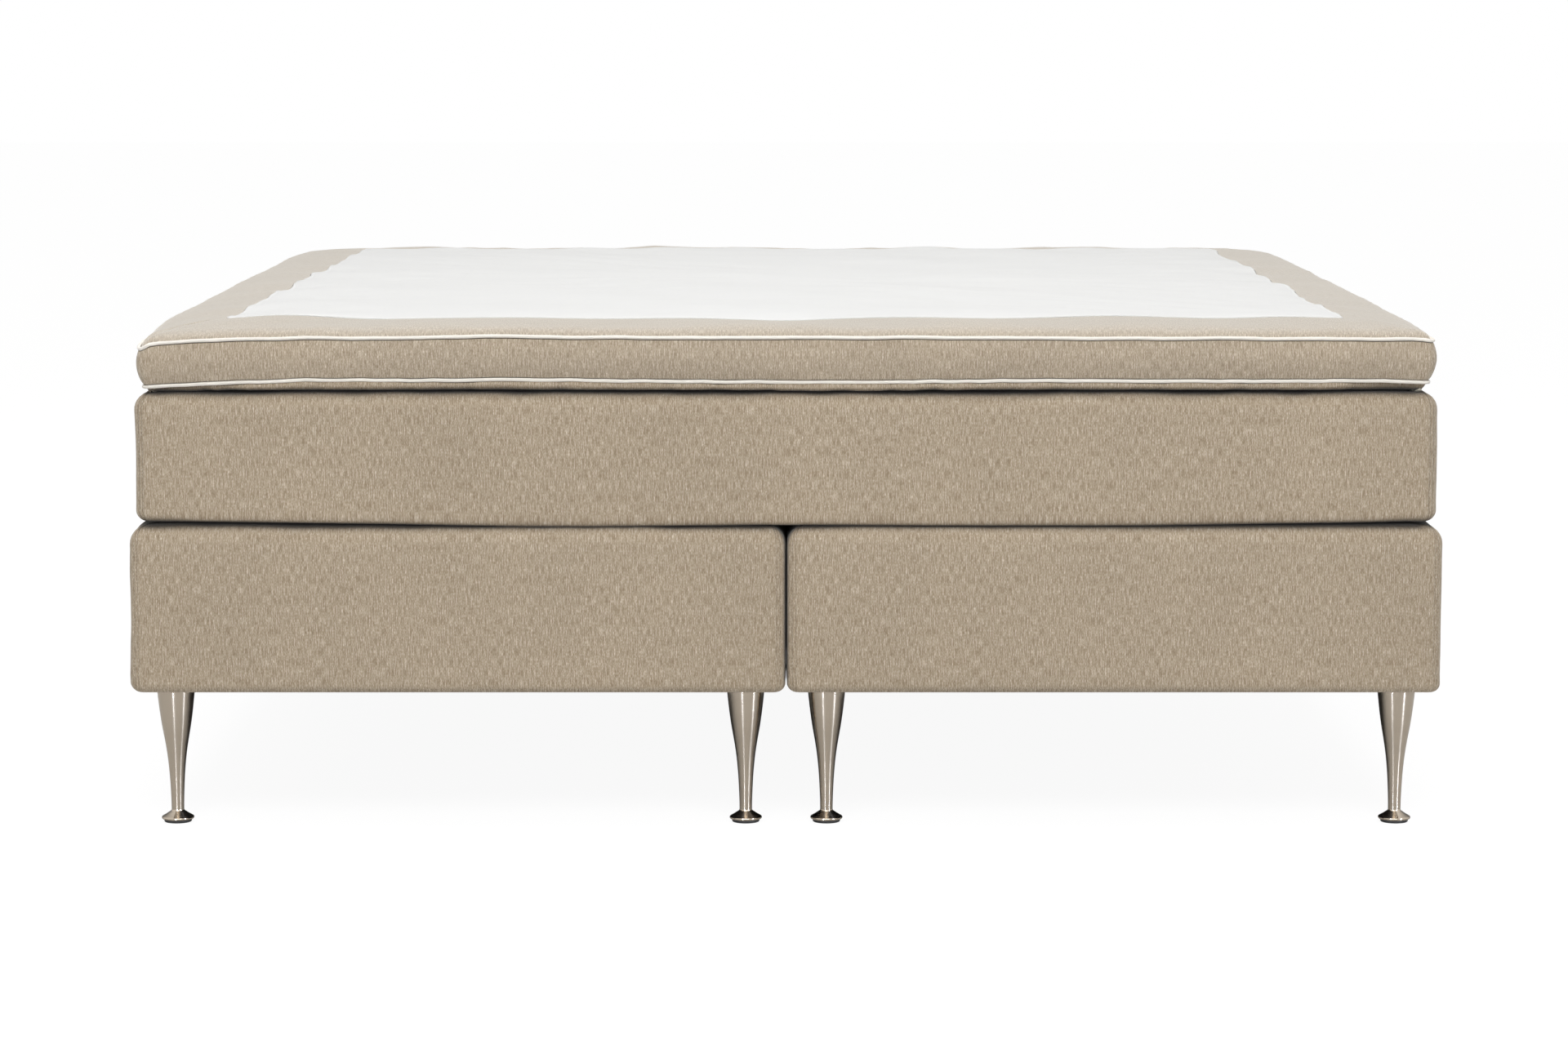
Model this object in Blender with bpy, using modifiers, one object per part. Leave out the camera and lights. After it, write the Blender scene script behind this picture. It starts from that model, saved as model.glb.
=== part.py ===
"""A box spring bed: two sprung bases on turned legs, a pocket spring mattress and a piped topper.

Metres, +Z up. X runs across the bed and -Y is its foot end. The origin is on the floor, under the middle.
"""

import math

import bmesh
import bpy
from mathutils import Vector

# Whole bed
BED_WIDTH = 1.800
BED_LENGTH = 2.000
BASE_GAP = 0.002
CLEARANCE = 0.0003
CUT_OVERRUN = 0.002

# Sides and ends, as signs along X and Y
SIDES = {"left": -1, "right": 1}
ENDS = {"foot": -1, "head": 1}

# Base box, covered in fabric
UNDERSIDE_HEIGHT = 0.188
BASE_HEIGHT = 0.235
BASE_CORNER_RADIUS = 0.018
BASE_TOP_RADIUS = 0.024
BASE_BOTTOM_RADIUS = 0.013
BASE_CROWN = 0.003
BASE_CROWN_RUN = 0.110
COVER_THICKNESS = 0.0025
HEM_WIDTH = 0.026
DUST_COVER_THICKNESS = 0.001
BASE_FOAM_SIDE = 0.010
BASE_FOAM_TOP = 0.022

# Base frame
RAIL_THICKNESS = 0.020
RAIL_HEIGHT = 0.110
TIMBER_BEVEL = 0.0015
SLAT_COUNT = 3
SLAT_WIDTH = 0.095
SLAT_THICKNESS = 0.018
LEG_BOARD_DEPTH = 0.110
LEG_BOARD_THICKNESS = 0.022
TEE_NUT_RADIUS = 0.011
TEE_NUT_FLANGE = 0.0015

# Turned leg and its glide
LEG_EDGE_MARGIN = 0.0032
LEG_TOP_RADIUS = 0.0258
LEG_TOP_CHAMFER = 0.0008
LEG_NECK_RADIUS = 0.0087
LEG_NECK_HEIGHT = 0.0135
FOOT_RADIUS = 0.0224
FOOT_RIM_HEIGHT = 0.0034
FOOT_RIM_CHAMFER = 0.0012
STUD_RADIUS = 0.004
STUD_LENGTH = 0.022
GLIDE_RADIUS = 0.019
GLIDE_HEIGHT = 0.003
GLIDE_CHAMFER = 0.0008
LEG_SEGMENTS = 16
SMALL_SEGMENTS = 12

# Leg outline, as shares of the rise and the widening from the neck to the top
LEG_TAPER_SHARES = ((0.86, 0.95), (0.73, 0.775), (0.60, 0.60), (0.47, 0.365), (0.34, 0.18), (0.17, 0.05))

# Foot outline, as shares of the rise from the rim to the neck and of the widening from the neck to the rim
FOOT_FLARE_SHARES = ((0.72, 0.15), (0.46, 0.48), (0.20, 0.87))

# Link plate that screws under both bases
LINK_LENGTH = 0.090
LINK_WIDTH = 0.036
LINK_THICKNESS = 0.003
LINK_END_RADIUS = 0.008
LINK_SCREW_RADIUS = 0.0045
LINK_SCREW_HEIGHT = 0.002
LINK_SCREW_PITCH = 0.018
LINK_PLACE_SHARE = 0.75

# Pocket springs
BASE_SPRING_PITCH = 0.063
MATTRESS_SPRING_PITCH = 0.0625
POCKET_STEPS = 2
POCKET_LOBE = math.radians(55)

# Mattress
MATTRESS_SIDE_INSET = 0.0085
MATTRESS_END_INSET = 0.0085
MATTRESS_HEIGHT = 0.182
MATTRESS_CORNER_RADIUS = 0.022
MATTRESS_TOP_RADIUS = 0.025
MATTRESS_BOTTOM_RADIUS = 0.020
MATTRESS_CROWN = 0.004
MATTRESS_CROWN_RUN = 0.120
MATTRESS_HEM_WIDTH = 0.045
MATTRESS_FOAM_TOP = 0.032
MATTRESS_FOAM_BOTTOM = 0.024
MATTRESS_SURROUND = 0.055

# Topper
TOPPER_SIDE_INSET = 0.0055
TOPPER_CORNER_RADIUS = 0.020
TOPPER_FABRIC = 0.002
PIPING_RADIUS = 0.00275
BOTTOM_PIPING_INSET = 0.011
BOTTOM_PIPING_HEIGHT = 0.0114
TOP_PIPING_INSET = 0.0015
TOP_PIPING_HEIGHT = 0.0714
UNDERSIDE_RUN = 0.045
BORDER_WIDTH = 0.125
BORDER_RISE = 0.0176
PANEL_RISE = 0.0030
PANEL_RUN = 0.175
CORNER_SAG = 0.008
SAG_RUN = 0.300

# Topper section rows, as shares of each panel's run, of its rise, and of the sag at the corners
UNDERSIDE_ROW_SHARES = ((0.0, 1.0, 1.0), (0.18, 0.38, 0.4), (0.48, 0.05, 0.0), (1.0, 0.0, 0.0))
BAND_FLAT_SHARES = (0.25, 0.80)
BORDER_ROW_SHARES = (
    (0.0, 0.0, 1.0), (0.05, 0.34, 0.95), (0.16, 0.62, 0.85), (0.48, 0.9, 0.5), (1.0, 1.0, 0.15),
)
PANEL_ROW_SHARES = ((0.0, 0.0, 0.15), (0.1, 0.75, 0.1), (1.0, 1.0, 0.0))
SIDE_POINT_SHARES = (0.06, 0.18, 0.5, 0.82, 0.94)

# Zip across the head end of the topper
ZIP_END_INSET = 0.195
ZIP_TAPE_HEIGHT = 0.022
ZIP_TAPE_THICKNESS = 0.0008
ZIP_CHAIN_HEIGHT = 0.005
ZIP_CHAIN_THICKNESS = 0.0014
ZIP_STOP_LENGTH = 0.004
ZIP_STOP_RISE = 0.0010
SLIDER_LENGTH = 0.012
SLIDER_HEIGHT = 0.0095
SLIDER_WALL = 0.0014
SLIDER_BEVEL = 0.0006

# Rounding of the upholstered forms
CORNER_STEPS = 3
TOPPER_CORNER_STEPS = 3
EDGE_STEPS = 4
SMALLEST_CORNER_SHARE = 0.3
CROWN_ROW_SHARES = ((0.35, 0.65), (1.0, 1.0))
BORE_CLEARANCE = 0.0004

# Sizes that follow from the ones above
BASE_WIDTH = (BED_WIDTH - BASE_GAP) / 2
BASE_HALF = Vector((BASE_WIDTH / 2, BED_LENGTH / 2))
COVER_CLEAR = COVER_THICKNESS + CLEARANCE
FRAME_INSET = COVER_CLEAR + BASE_FOAM_SIDE + CLEARANCE
FRAME_HALF = BASE_HALF - Vector((FRAME_INSET, FRAME_INSET))
RAIL_TOP = COVER_CLEAR + RAIL_HEIGHT
LEG_TOP = COVER_THICKNESS - DUST_COVER_THICKNESS - CLEARANCE
LEG_INSET = HEM_WIDTH + LEG_EDGE_MARGIN + LEG_TOP_RADIUS
BED_HALF = Vector((BED_WIDTH / 2, BED_LENGTH / 2))
MATTRESS_HALF = BED_HALF - Vector((MATTRESS_SIDE_INSET, MATTRESS_END_INSET))
MATTRESS_BOTTOM = UNDERSIDE_HEIGHT + BASE_HEIGHT + CLEARANCE
TOPPER_HALF = MATTRESS_HALF - Vector((TOPPER_SIDE_INSET, 0))
TOPPER_BOTTOM = MATTRESS_BOTTOM + MATTRESS_HEIGHT + CLEARANCE
TOPPER_CLEAR = TOPPER_FABRIC + CLEARANCE
PIPING_SEAT = PIPING_RADIUS + CLEARANCE
ZIP_LENGTH = 2 * (TOPPER_HALF.x - ZIP_END_INSET)

# Colours as linear red, green and blue, then roughness and metallic
FINISHES = {
    "beige_fabric": ((0.44, 0.36, 0.27), 0.9, 0.0),
    "cream_piping": ((0.85, 0.80, 0.72), 0.7, 0.0),
    "white_stretch_fabric": ((0.84, 0.84, 0.83), 0.85, 0.0),
    "brushed_steel": ((0.56, 0.53, 0.49), 0.32, 1.0),
    "zinc_steel": ((0.60, 0.61, 0.62), 0.4, 1.0),
    "pine": ((0.66, 0.46, 0.27), 0.6, 0.0),
    "foam": ((0.86, 0.84, 0.74), 0.95, 0.0),
    "pocket_fabric": ((0.80, 0.82, 0.84), 0.9, 0.0),
    "dust_cover_fabric": ((0.05, 0.05, 0.055), 0.9, 0.0),
    "glide_plastic": ((0.10, 0.10, 0.10), 0.5, 0.0),
    "zip_tape": ((0.50, 0.43, 0.34), 0.8, 0.0),
}


def clear_scene():
    """Remove every object of the scene that the script starts in."""
    for existing in list(bpy.data.objects):
        bpy.data.objects.remove(existing, do_unlink=True)


def new_collection(name):
    """Add a collection to the scene."""
    collection = bpy.data.collections.new(name)
    bpy.context.scene.collection.children.link(collection)
    return collection


def finish(name, piece):
    """Give a piece its own material, from the table of finishes."""
    colour, roughness, metallic = FINISHES[name]
    material = bpy.data.materials.new(f"{piece}_{name}")
    material.use_nodes = True
    shader = material.node_tree.nodes["Principled BSDF"]
    shader.inputs["Base Color"].default_value = (*colour, 1)
    shader.inputs["Roughness"].default_value = roughness
    shader.inputs["Metallic"].default_value = metallic
    return material


def add_piece(name, data, finish_name, location=(0, 0, 0), parent=None):
    """Add a named piece to the bed's collection."""
    piece = bpy.data.objects.new(name, data)
    data.materials.append(finish(finish_name, name))
    piece.location = location
    piece.parent = parent
    bed.objects.link(piece)
    return piece


def add_helper(name, mesh, location, parent):
    """Add a body that a Boolean uses and a render leaves out."""
    helper = bpy.data.objects.new(name, mesh)
    helper.location = location
    helper.parent = parent
    helper.hide_render = True
    helper.display_type = "WIRE"
    cutters.objects.link(helper)
    return helper


def add_empty(name, location, parent=None):
    """Add an empty that carries one body of the bed."""
    empty = bpy.data.objects.new(name, None)
    empty.location = location
    empty.parent = parent
    bed.objects.link(empty)
    return empty


def mesh_of(build):
    """Turn a bmesh into mesh data and free it."""
    mesh = bpy.data.meshes.new("mesh")
    build.to_mesh(mesh)
    build.free()
    return mesh


def box_mesh(size):
    """A cube primitive of the given X, Y and Z sizes, about its middle."""
    build = bmesh.new()
    bmesh.ops.create_cube(build, size=1)
    bmesh.ops.scale(build, vec=size, verts=build.verts)
    return mesh_of(build)


def cylinder_mesh(radius, height, segments=SMALL_SEGMENTS):
    """A capped cylinder about its middle, standing along Z."""
    build = bmesh.new()
    bmesh.ops.create_cone(
        build, cap_ends=True, segments=segments, radius1=radius, radius2=radius, depth=height
    )
    return mesh_of(build)


def round_off(piece, width):
    """Bevel every edge of a box-shaped piece."""
    modifier = piece.modifiers.new("rounded_edges", "BEVEL")
    modifier.width = width
    modifier.segments = 1


def boolean(piece, helper, operation):
    """Cut a helper body out of a piece, or join it on."""
    modifier = piece.modifiers.new(helper.name, "BOOLEAN")
    modifier.operation = operation
    modifier.object = helper
    modifier.solver = "EXACT"


def turned(name, profile, segments, finish_name, location, parent):
    """Turn a profile, given as radius and height from the top down, round the Z axis."""
    mesh = bpy.data.meshes.new("profile")
    points = [(radius, 0, height) for radius, height in profile]
    edges = [(index, index + 1) for index in range(len(points) - 1)]
    mesh.from_pydata(points, edges, [])
    piece = add_piece(name, mesh, finish_name, location, parent)
    screw = piece.modifiers.new("turned", "SCREW")
    screw.steps = segments
    screw.render_steps = segments
    screw.use_merge_vertices = True
    screw.merge_threshold = CLEARANCE / 10
    screw.use_smooth_shade = True
    return piece


def rounded_rectangle(half, radius, steps, side_shares=()):
    """The (x, y) points of a rounded rectangle, anticlockwise from its +X side."""
    arcs = []
    for turn, signs in enumerate(((1, 1), (-1, 1), (-1, -1), (1, -1))):
        centre = Vector(((half.x - radius) * signs[0], (half.y - radius) * signs[1]))
        angles = [(turn + step / steps) * math.pi / 2 for step in range(steps + 1)]
        arcs.append([centre + Vector((math.cos(a), math.sin(a))) * radius for a in angles])
    points = []
    for arc, following in zip(arcs, arcs[1:] + arcs[:1]):
        points += arc
        points += [arc[-1].lerp(following[0], share) for share in side_shares]
    return points


def ring(half, corner_radius, inset, height, steps):
    """One horizontal ring of an upholstered box, inset from its outline."""
    inner = half - Vector((inset, inset))
    radius = max(corner_radius - inset, corner_radius * SMALLEST_CORNER_SHARE)
    return [(point.x, point.y, height) for point in rounded_rectangle(inner, radius, steps)]


def loft_mesh(rings, cap_first=False, cap_last=False):
    """Join rings of equal count, each anticlockwise, into a surface that faces out."""
    build = bmesh.new()
    rows = [[build.verts.new(point) for point in points] for points in rings]
    for lower, upper in zip(rows, rows[1:]):
        for index, corner in enumerate(lower):
            following = (index + 1) % len(lower)
            build.faces.new((corner, lower[following], upper[following], upper[index]))
    if cap_first:
        build.faces.new(reversed(rows[0]))
    if cap_last:
        build.faces.new(rows[-1])
    return mesh_of(build)


def thicken(piece, thickness):
    """Give a surface its thickness, on its inner side."""
    modifier = piece.modifiers.new("fabric_thickness", "SOLIDIFY")
    modifier.thickness = thickness
    modifier.offset = -1
    modifier.use_even_offset = True


def soften(piece):
    """Shade a mesh smooth, with its sharp edges kept."""
    piece.data.shade_smooth()
    piece.data.set_sharp_from_angle(angle=math.radians(40))


def outline_data(outlines, thickness):
    """A flat sheet as a filled 2D curve: its outline first, then its holes."""
    curve = bpy.data.curves.new("outline", "CURVE")
    curve.dimensions = "2D"
    curve.fill_mode = "BOTH"
    curve.extrude = thickness / 2
    for outline in outlines:
        spline = curve.splines.new("POLY")
        spline.points.add(len(outline) - 1)
        for point, place in zip(spline.points, outline):
            point.co = (place[0], place[1], 0, 1)
        spline.use_cyclic_u = True
    return curve


def circle_points(centre, radius, count=SMALL_SEGMENTS):
    """Points evenly round a circle."""
    angles = [2 * math.pi * step / count for step in range(count)]
    return [(centre[0] + radius * math.cos(a), centre[1] + radius * math.sin(a)) for a in angles]


def edge_rows(height, top_radius, bottom_radius, crown, clear):
    """(inset, height) pairs up the side of an upholstered box, moved in from its outside by clear."""
    quarter = [math.pi / 2 * step / EDGE_STEPS for step in range(EDGE_STEPS + 1)]
    bottom = [
        (
            bottom_radius - (bottom_radius - clear) * math.sin(angle),
            bottom_radius - (bottom_radius - clear) * math.cos(angle),
        )
        for angle in quarter
    ]
    shoulder = height - crown - top_radius
    top = [
        (
            top_radius - (top_radius - clear) * math.cos(angle),
            shoulder + (top_radius - clear) * math.sin(angle),
        )
        for angle in quarter
    ]
    return bottom, top


def crown_rows(height, start, crown, run, clear):
    """(inset, height) pairs over the crowned top, from the edge's rounding to the flat middle."""
    return [
        (start + (run - start) * along, height - crown * (1 - rise) - clear)
        for along, rise in CROWN_ROW_SHARES
    ]


def base_rings(rows):
    return [ring(BASE_HALF, BASE_CORNER_RADIUS, inset, height, CORNER_STEPS) for inset, height in rows]


def mattress_rings(rows):
    return [
        ring(MATTRESS_HALF, MATTRESS_CORNER_RADIUS, inset, height, CORNER_STEPS) for inset, height in rows
    ]


def flanks(base_name):
    """The outer and inner side of one base, as signs along X."""
    outward = SIDES[base_name]
    return {"outer": outward, "inner": -outward}


def leg_places(base_name):
    """The leg positions of one base: its end, its flank, x and y."""
    places = []
    for end, toward_end in ENDS.items():
        for flank, toward_flank in flanks(base_name).items():
            x = (BASE_HALF.x - LEG_INSET) * toward_flank
            y = (BASE_HALF.y - LEG_INSET) * toward_end
            places.append((end, flank, x, y))
    return places


def leg_profile(height):
    """Radius and height of the turned leg from its stud down, with its top face at zero."""
    bottom = -height
    neck = bottom + LEG_NECK_HEIGHT
    rim = bottom + FOOT_RIM_HEIGHT
    widening = LEG_TOP_RADIUS - LEG_NECK_RADIUS
    flare = FOOT_RADIUS - LEG_NECK_RADIUS
    profile = [(0, STUD_LENGTH), (STUD_RADIUS, STUD_LENGTH), (STUD_RADIUS, 0)]
    profile += [(LEG_TOP_RADIUS - LEG_TOP_CHAMFER, 0), (LEG_TOP_RADIUS, -LEG_TOP_CHAMFER)]
    profile += [(LEG_NECK_RADIUS + widening * wide, neck - neck * up) for up, wide in LEG_TAPER_SHARES]
    profile.append((LEG_NECK_RADIUS, neck))
    profile += [(LEG_NECK_RADIUS + flare * wide, rim + (neck - rim) * up) for up, wide in FOOT_FLARE_SHARES]
    profile += [(FOOT_RADIUS, rim), (FOOT_RADIUS, bottom + FOOT_RIM_CHAMFER)]
    profile += [(FOOT_RADIUS - FOOT_RIM_CHAMFER, bottom), (0, bottom)]
    return profile


def add_legs(base_name, base):
    """Four turned legs and the glides under them."""
    floor = -UNDERSIDE_HEIGHT
    foot = floor + GLIDE_HEIGHT + CLEARANCE
    profile = leg_profile(LEG_TOP - foot)
    glide = [(0, GLIDE_HEIGHT), (GLIDE_RADIUS, GLIDE_HEIGHT), (GLIDE_RADIUS, GLIDE_CHAMFER)]
    glide += [(GLIDE_RADIUS - GLIDE_CHAMFER, 0), (0, 0)]
    for end, flank, x, y in leg_places(base_name):
        name = f"{base_name}_{end}_{flank}"
        turned(f"leg_{name}", profile, LEG_SEGMENTS, "brushed_steel", (x, y, LEG_TOP), base)
        turned(f"glide_{name}", glide, SMALL_SEGMENTS, "glide_plastic", (x, y, floor), base)


def add_frame(base_name, base):
    """Rails, notched for the slats, and the slats that lie in them."""
    middle = COVER_CLEAR + RAIL_HEIGHT / 2
    rail_length = 2 * (FRAME_HALF.y - RAIL_THICKNESS - CLEARANCE)
    slat_pitch = 2 * FRAME_HALF.y / (SLAT_COUNT + 1)
    slat_places = [slat_pitch * (index + 1) - FRAME_HALF.y for index in range(SLAT_COUNT)]
    slat_middle = RAIL_TOP - SLAT_THICKNESS / 2
    notch_size = (
        2 * FRAME_HALF.x + 2 * CUT_OVERRUN,
        SLAT_WIDTH + 2 * CLEARANCE,
        SLAT_THICKNESS + CLEARANCE + CUT_OVERRUN,
    )
    notch_middle = RAIL_TOP + CUT_OVERRUN - notch_size[2] / 2
    notches = []
    for index, y in enumerate(slat_places):
        notch_mesh = box_mesh(notch_size)
        notches.append(add_helper(f"notch_{base_name}_{index + 1}", notch_mesh, (0, y, notch_middle), base))
        slat_mesh = box_mesh((2 * FRAME_HALF.x, SLAT_WIDTH, SLAT_THICKNESS))
        slat = add_piece(f"slat_{base_name}_{index + 1}", slat_mesh, "pine", (0, y, slat_middle), base)
        round_off(slat, TIMBER_BEVEL)
    for flank, sign in flanks(base_name).items():
        x = (FRAME_HALF.x - RAIL_THICKNESS / 2) * sign
        mesh = box_mesh((RAIL_THICKNESS, rail_length, RAIL_HEIGHT))
        rail = add_piece(f"side_rail_{base_name}_{flank}", mesh, "pine", (x, 0, middle), base)
        round_off(rail, TIMBER_BEVEL)
        for notch in notches:
            boolean(rail, notch, "DIFFERENCE")
    for end, sign in ENDS.items():
        y = (FRAME_HALF.y - RAIL_THICKNESS / 2) * sign
        mesh = box_mesh((2 * FRAME_HALF.x, RAIL_THICKNESS, RAIL_HEIGHT))
        rail = add_piece(f"end_rail_{base_name}_{end}", mesh, "pine", (0, y, middle), base)
        round_off(rail, TIMBER_BEVEL)


def add_leg_boards(base_name, base):
    """A board across each end of the frame, with a tee nut over each leg."""
    inner_x = FRAME_HALF.x - RAIL_THICKNESS - CLEARANCE
    outer_y = FRAME_HALF.y - RAIL_THICKNESS - CLEARANCE
    middle = COVER_CLEAR + LEG_BOARD_THICKNESS / 2
    for end, sign in ENDS.items():
        y = (outer_y - LEG_BOARD_DEPTH / 2) * sign
        mesh = box_mesh((2 * inner_x, LEG_BOARD_DEPTH, LEG_BOARD_THICKNESS))
        board = add_piece(f"leg_board_{base_name}_{end}", mesh, "pine", (0, y, middle), base)
        round_off(board, TIMBER_BEVEL)
        for leg_end, flank, leg_x, leg_y in leg_places(base_name):
            if leg_end != end:
                continue
            flange_top = COVER_CLEAR + LEG_BOARD_THICKNESS + TEE_NUT_FLANGE
            flange_height = 2 * TEE_NUT_FLANGE
            flange_place = (leg_x, leg_y, flange_top - flange_height / 2)
            flange_mesh = cylinder_mesh(TEE_NUT_RADIUS, flange_height)
            flange = add_helper(f"tee_nut_{base_name}_{end}_{flank}", flange_mesh, flange_place, base)
            boolean(board, flange, "UNION")
            bore_height = LEG_BOARD_THICKNESS + TEE_NUT_FLANGE + 2 * CUT_OVERRUN
            bore_place = (leg_x, leg_y, flange_top + CUT_OVERRUN - bore_height / 2)
            bore_mesh = cylinder_mesh(STUD_RADIUS + BORE_CLEARANCE, bore_height)
            bore = add_helper(f"tee_bore_{base_name}_{end}_{flank}", bore_mesh, bore_place, base)
            boolean(board, bore, "DIFFERENCE")


def pocket_outline(half, pitch):
    """The outline of a block of round spring pockets, as many as fit its two sides, anticlockwise."""
    counts = [round(2 * side / pitch) for side in half]
    radii = [side / count for side, count in zip(half, counts)]
    outline = []
    for turn in range(4):
        along = turn % 2
        across = 1 - along
        outward = math.pi / 2 * (turn - 1)
        for index in range(counts[along]):
            at_end = index == counts[along] - 1
            step = index if turn < 2 else counts[along] - 1 - index
            centre = Vector((0, 0))
            centre[along] = radii[along] * (2 * step + 1) - half[along]
            centre[across] = (half[across] - radii[across]) * (1 if turn in (1, 2) else -1)
            first = -POCKET_LOBE if index else -math.pi / 4
            last = math.pi / 4 if at_end else POCKET_LOBE
            for part in range(POCKET_STEPS if at_end else POCKET_STEPS + 1):
                angle = outward + first + (last - first) * part / POCKET_STEPS
                outline.append(centre + Vector((radii[0] * math.cos(angle), radii[1] * math.sin(angle))))
    return outline


def add_spring_block(name, half, pitch, bottom, height, parent):
    """A unit of pocket springs, one lobe for each pocket along its four sides."""
    data = outline_data([pocket_outline(half, pitch)], height)
    add_piece(name, data, "pocket_fabric", (0, 0, bottom + height / 2), parent)


def add_base_upholstery(base_name, base):
    """The spring unit on the frame, its foam jacket, the cover and the dust cover beneath."""
    bottom, top = edge_rows(BASE_HEIGHT, BASE_TOP_RADIUS, BASE_BOTTOM_RADIUS, BASE_CROWN, 0)
    crown = crown_rows(BASE_HEIGHT, BASE_TOP_RADIUS, BASE_CROWN, BASE_CROWN_RUN, 0)
    rings = base_rings([(HEM_WIDTH, 0)] + bottom + top + crown)
    cover_mesh = loft_mesh(rings, cap_last=True)
    cover = add_piece(f"base_cover_{base_name}", cover_mesh, "beige_fabric", parent=base)
    thicken(cover, COVER_THICKNESS)
    soften(cover)

    top = edge_rows(BASE_HEIGHT, BASE_TOP_RADIUS, BASE_BOTTOM_RADIUS, BASE_CROWN, COVER_CLEAR)[1]
    crown = crown_rows(BASE_HEIGHT, BASE_TOP_RADIUS, BASE_CROWN, BASE_CROWN_RUN, COVER_CLEAR)
    rings = base_rings([(COVER_CLEAR, BASE_BOTTOM_RADIUS)] + top + crown)
    foam_mesh = loft_mesh(rings, cap_first=True, cap_last=True)
    foam = add_piece(f"base_foam_{base_name}", foam_mesh, "foam", parent=base)
    ceiling = BASE_HEIGHT - COVER_CLEAR - BASE_FOAM_TOP
    hollow_half = FRAME_HALF + Vector((CLEARANCE, CLEARANCE))
    hollow_size = (2 * hollow_half.x, 2 * hollow_half.y, ceiling)
    hollow = add_helper(f"foam_hollow_{base_name}", box_mesh(hollow_size), (0, 0, ceiling / 2), base)
    boolean(foam, hollow, "DIFFERENCE")

    springs_bottom = RAIL_TOP + CLEARANCE
    springs_height = ceiling - CLEARANCE - springs_bottom
    springs_name = f"base_spring_unit_{base_name}"
    add_spring_block(springs_name, FRAME_HALF, BASE_SPRING_PITCH, springs_bottom, springs_height, base)

    sheet_half = BASE_HALF - Vector((HEM_WIDTH + CLEARANCE, HEM_WIDTH + CLEARANCE))
    sheet_corner = BASE_CORNER_RADIUS * SMALLEST_CORNER_SHARE
    outlines = [rounded_rectangle(sheet_half, sheet_corner, CORNER_STEPS)]
    hole_radius = STUD_RADIUS + 2 * BORE_CLEARANCE
    outlines += [circle_points((x, y), hole_radius) for _, _, x, y in leg_places(base_name)]
    sheet = outline_data(outlines, DUST_COVER_THICKNESS)
    place = (0, 0, COVER_THICKNESS - DUST_COVER_THICKNESS / 2)
    add_piece(f"dust_cover_{base_name}", sheet, "dust_cover_fabric", place, base)


def add_link_plates():
    """Steel plates that screw up into the inner rails and hold the bases together."""
    screw_x = BASE_GAP / 2 + FRAME_INSET + RAIL_THICKNESS / 2
    for end, sign in ENDS.items():
        half = Vector((LINK_LENGTH / 2, LINK_WIDTH / 2))
        outline = rounded_rectangle(half, LINK_END_RADIUS, CORNER_STEPS)
        underside = UNDERSIDE_HEIGHT - CLEARANCE
        top_place = (0, BASE_HALF.y * LINK_PLACE_SHARE * sign, underside - LINK_THICKNESS)
        lower = [(point.x, point.y, 0) for point in outline]
        upper = [(point.x, point.y, LINK_THICKNESS) for point in outline]
        mesh = loft_mesh([lower, upper], cap_first=True, cap_last=True)
        plate = add_piece(f"link_plate_{end}", mesh, "zinc_steel", top_place)
        for index in range(4):
            x = screw_x * (1 if index % 2 else -1)
            y = LINK_SCREW_PITCH / 2 * (1 if index < 2 else -1)
            head_mesh = cylinder_mesh(LINK_SCREW_RADIUS, 2 * LINK_SCREW_HEIGHT)
            head = add_helper(f"screw_head_{end}_{index + 1}", head_mesh, (x, y, 0), plate)
            boolean(plate, head, "UNION")


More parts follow.
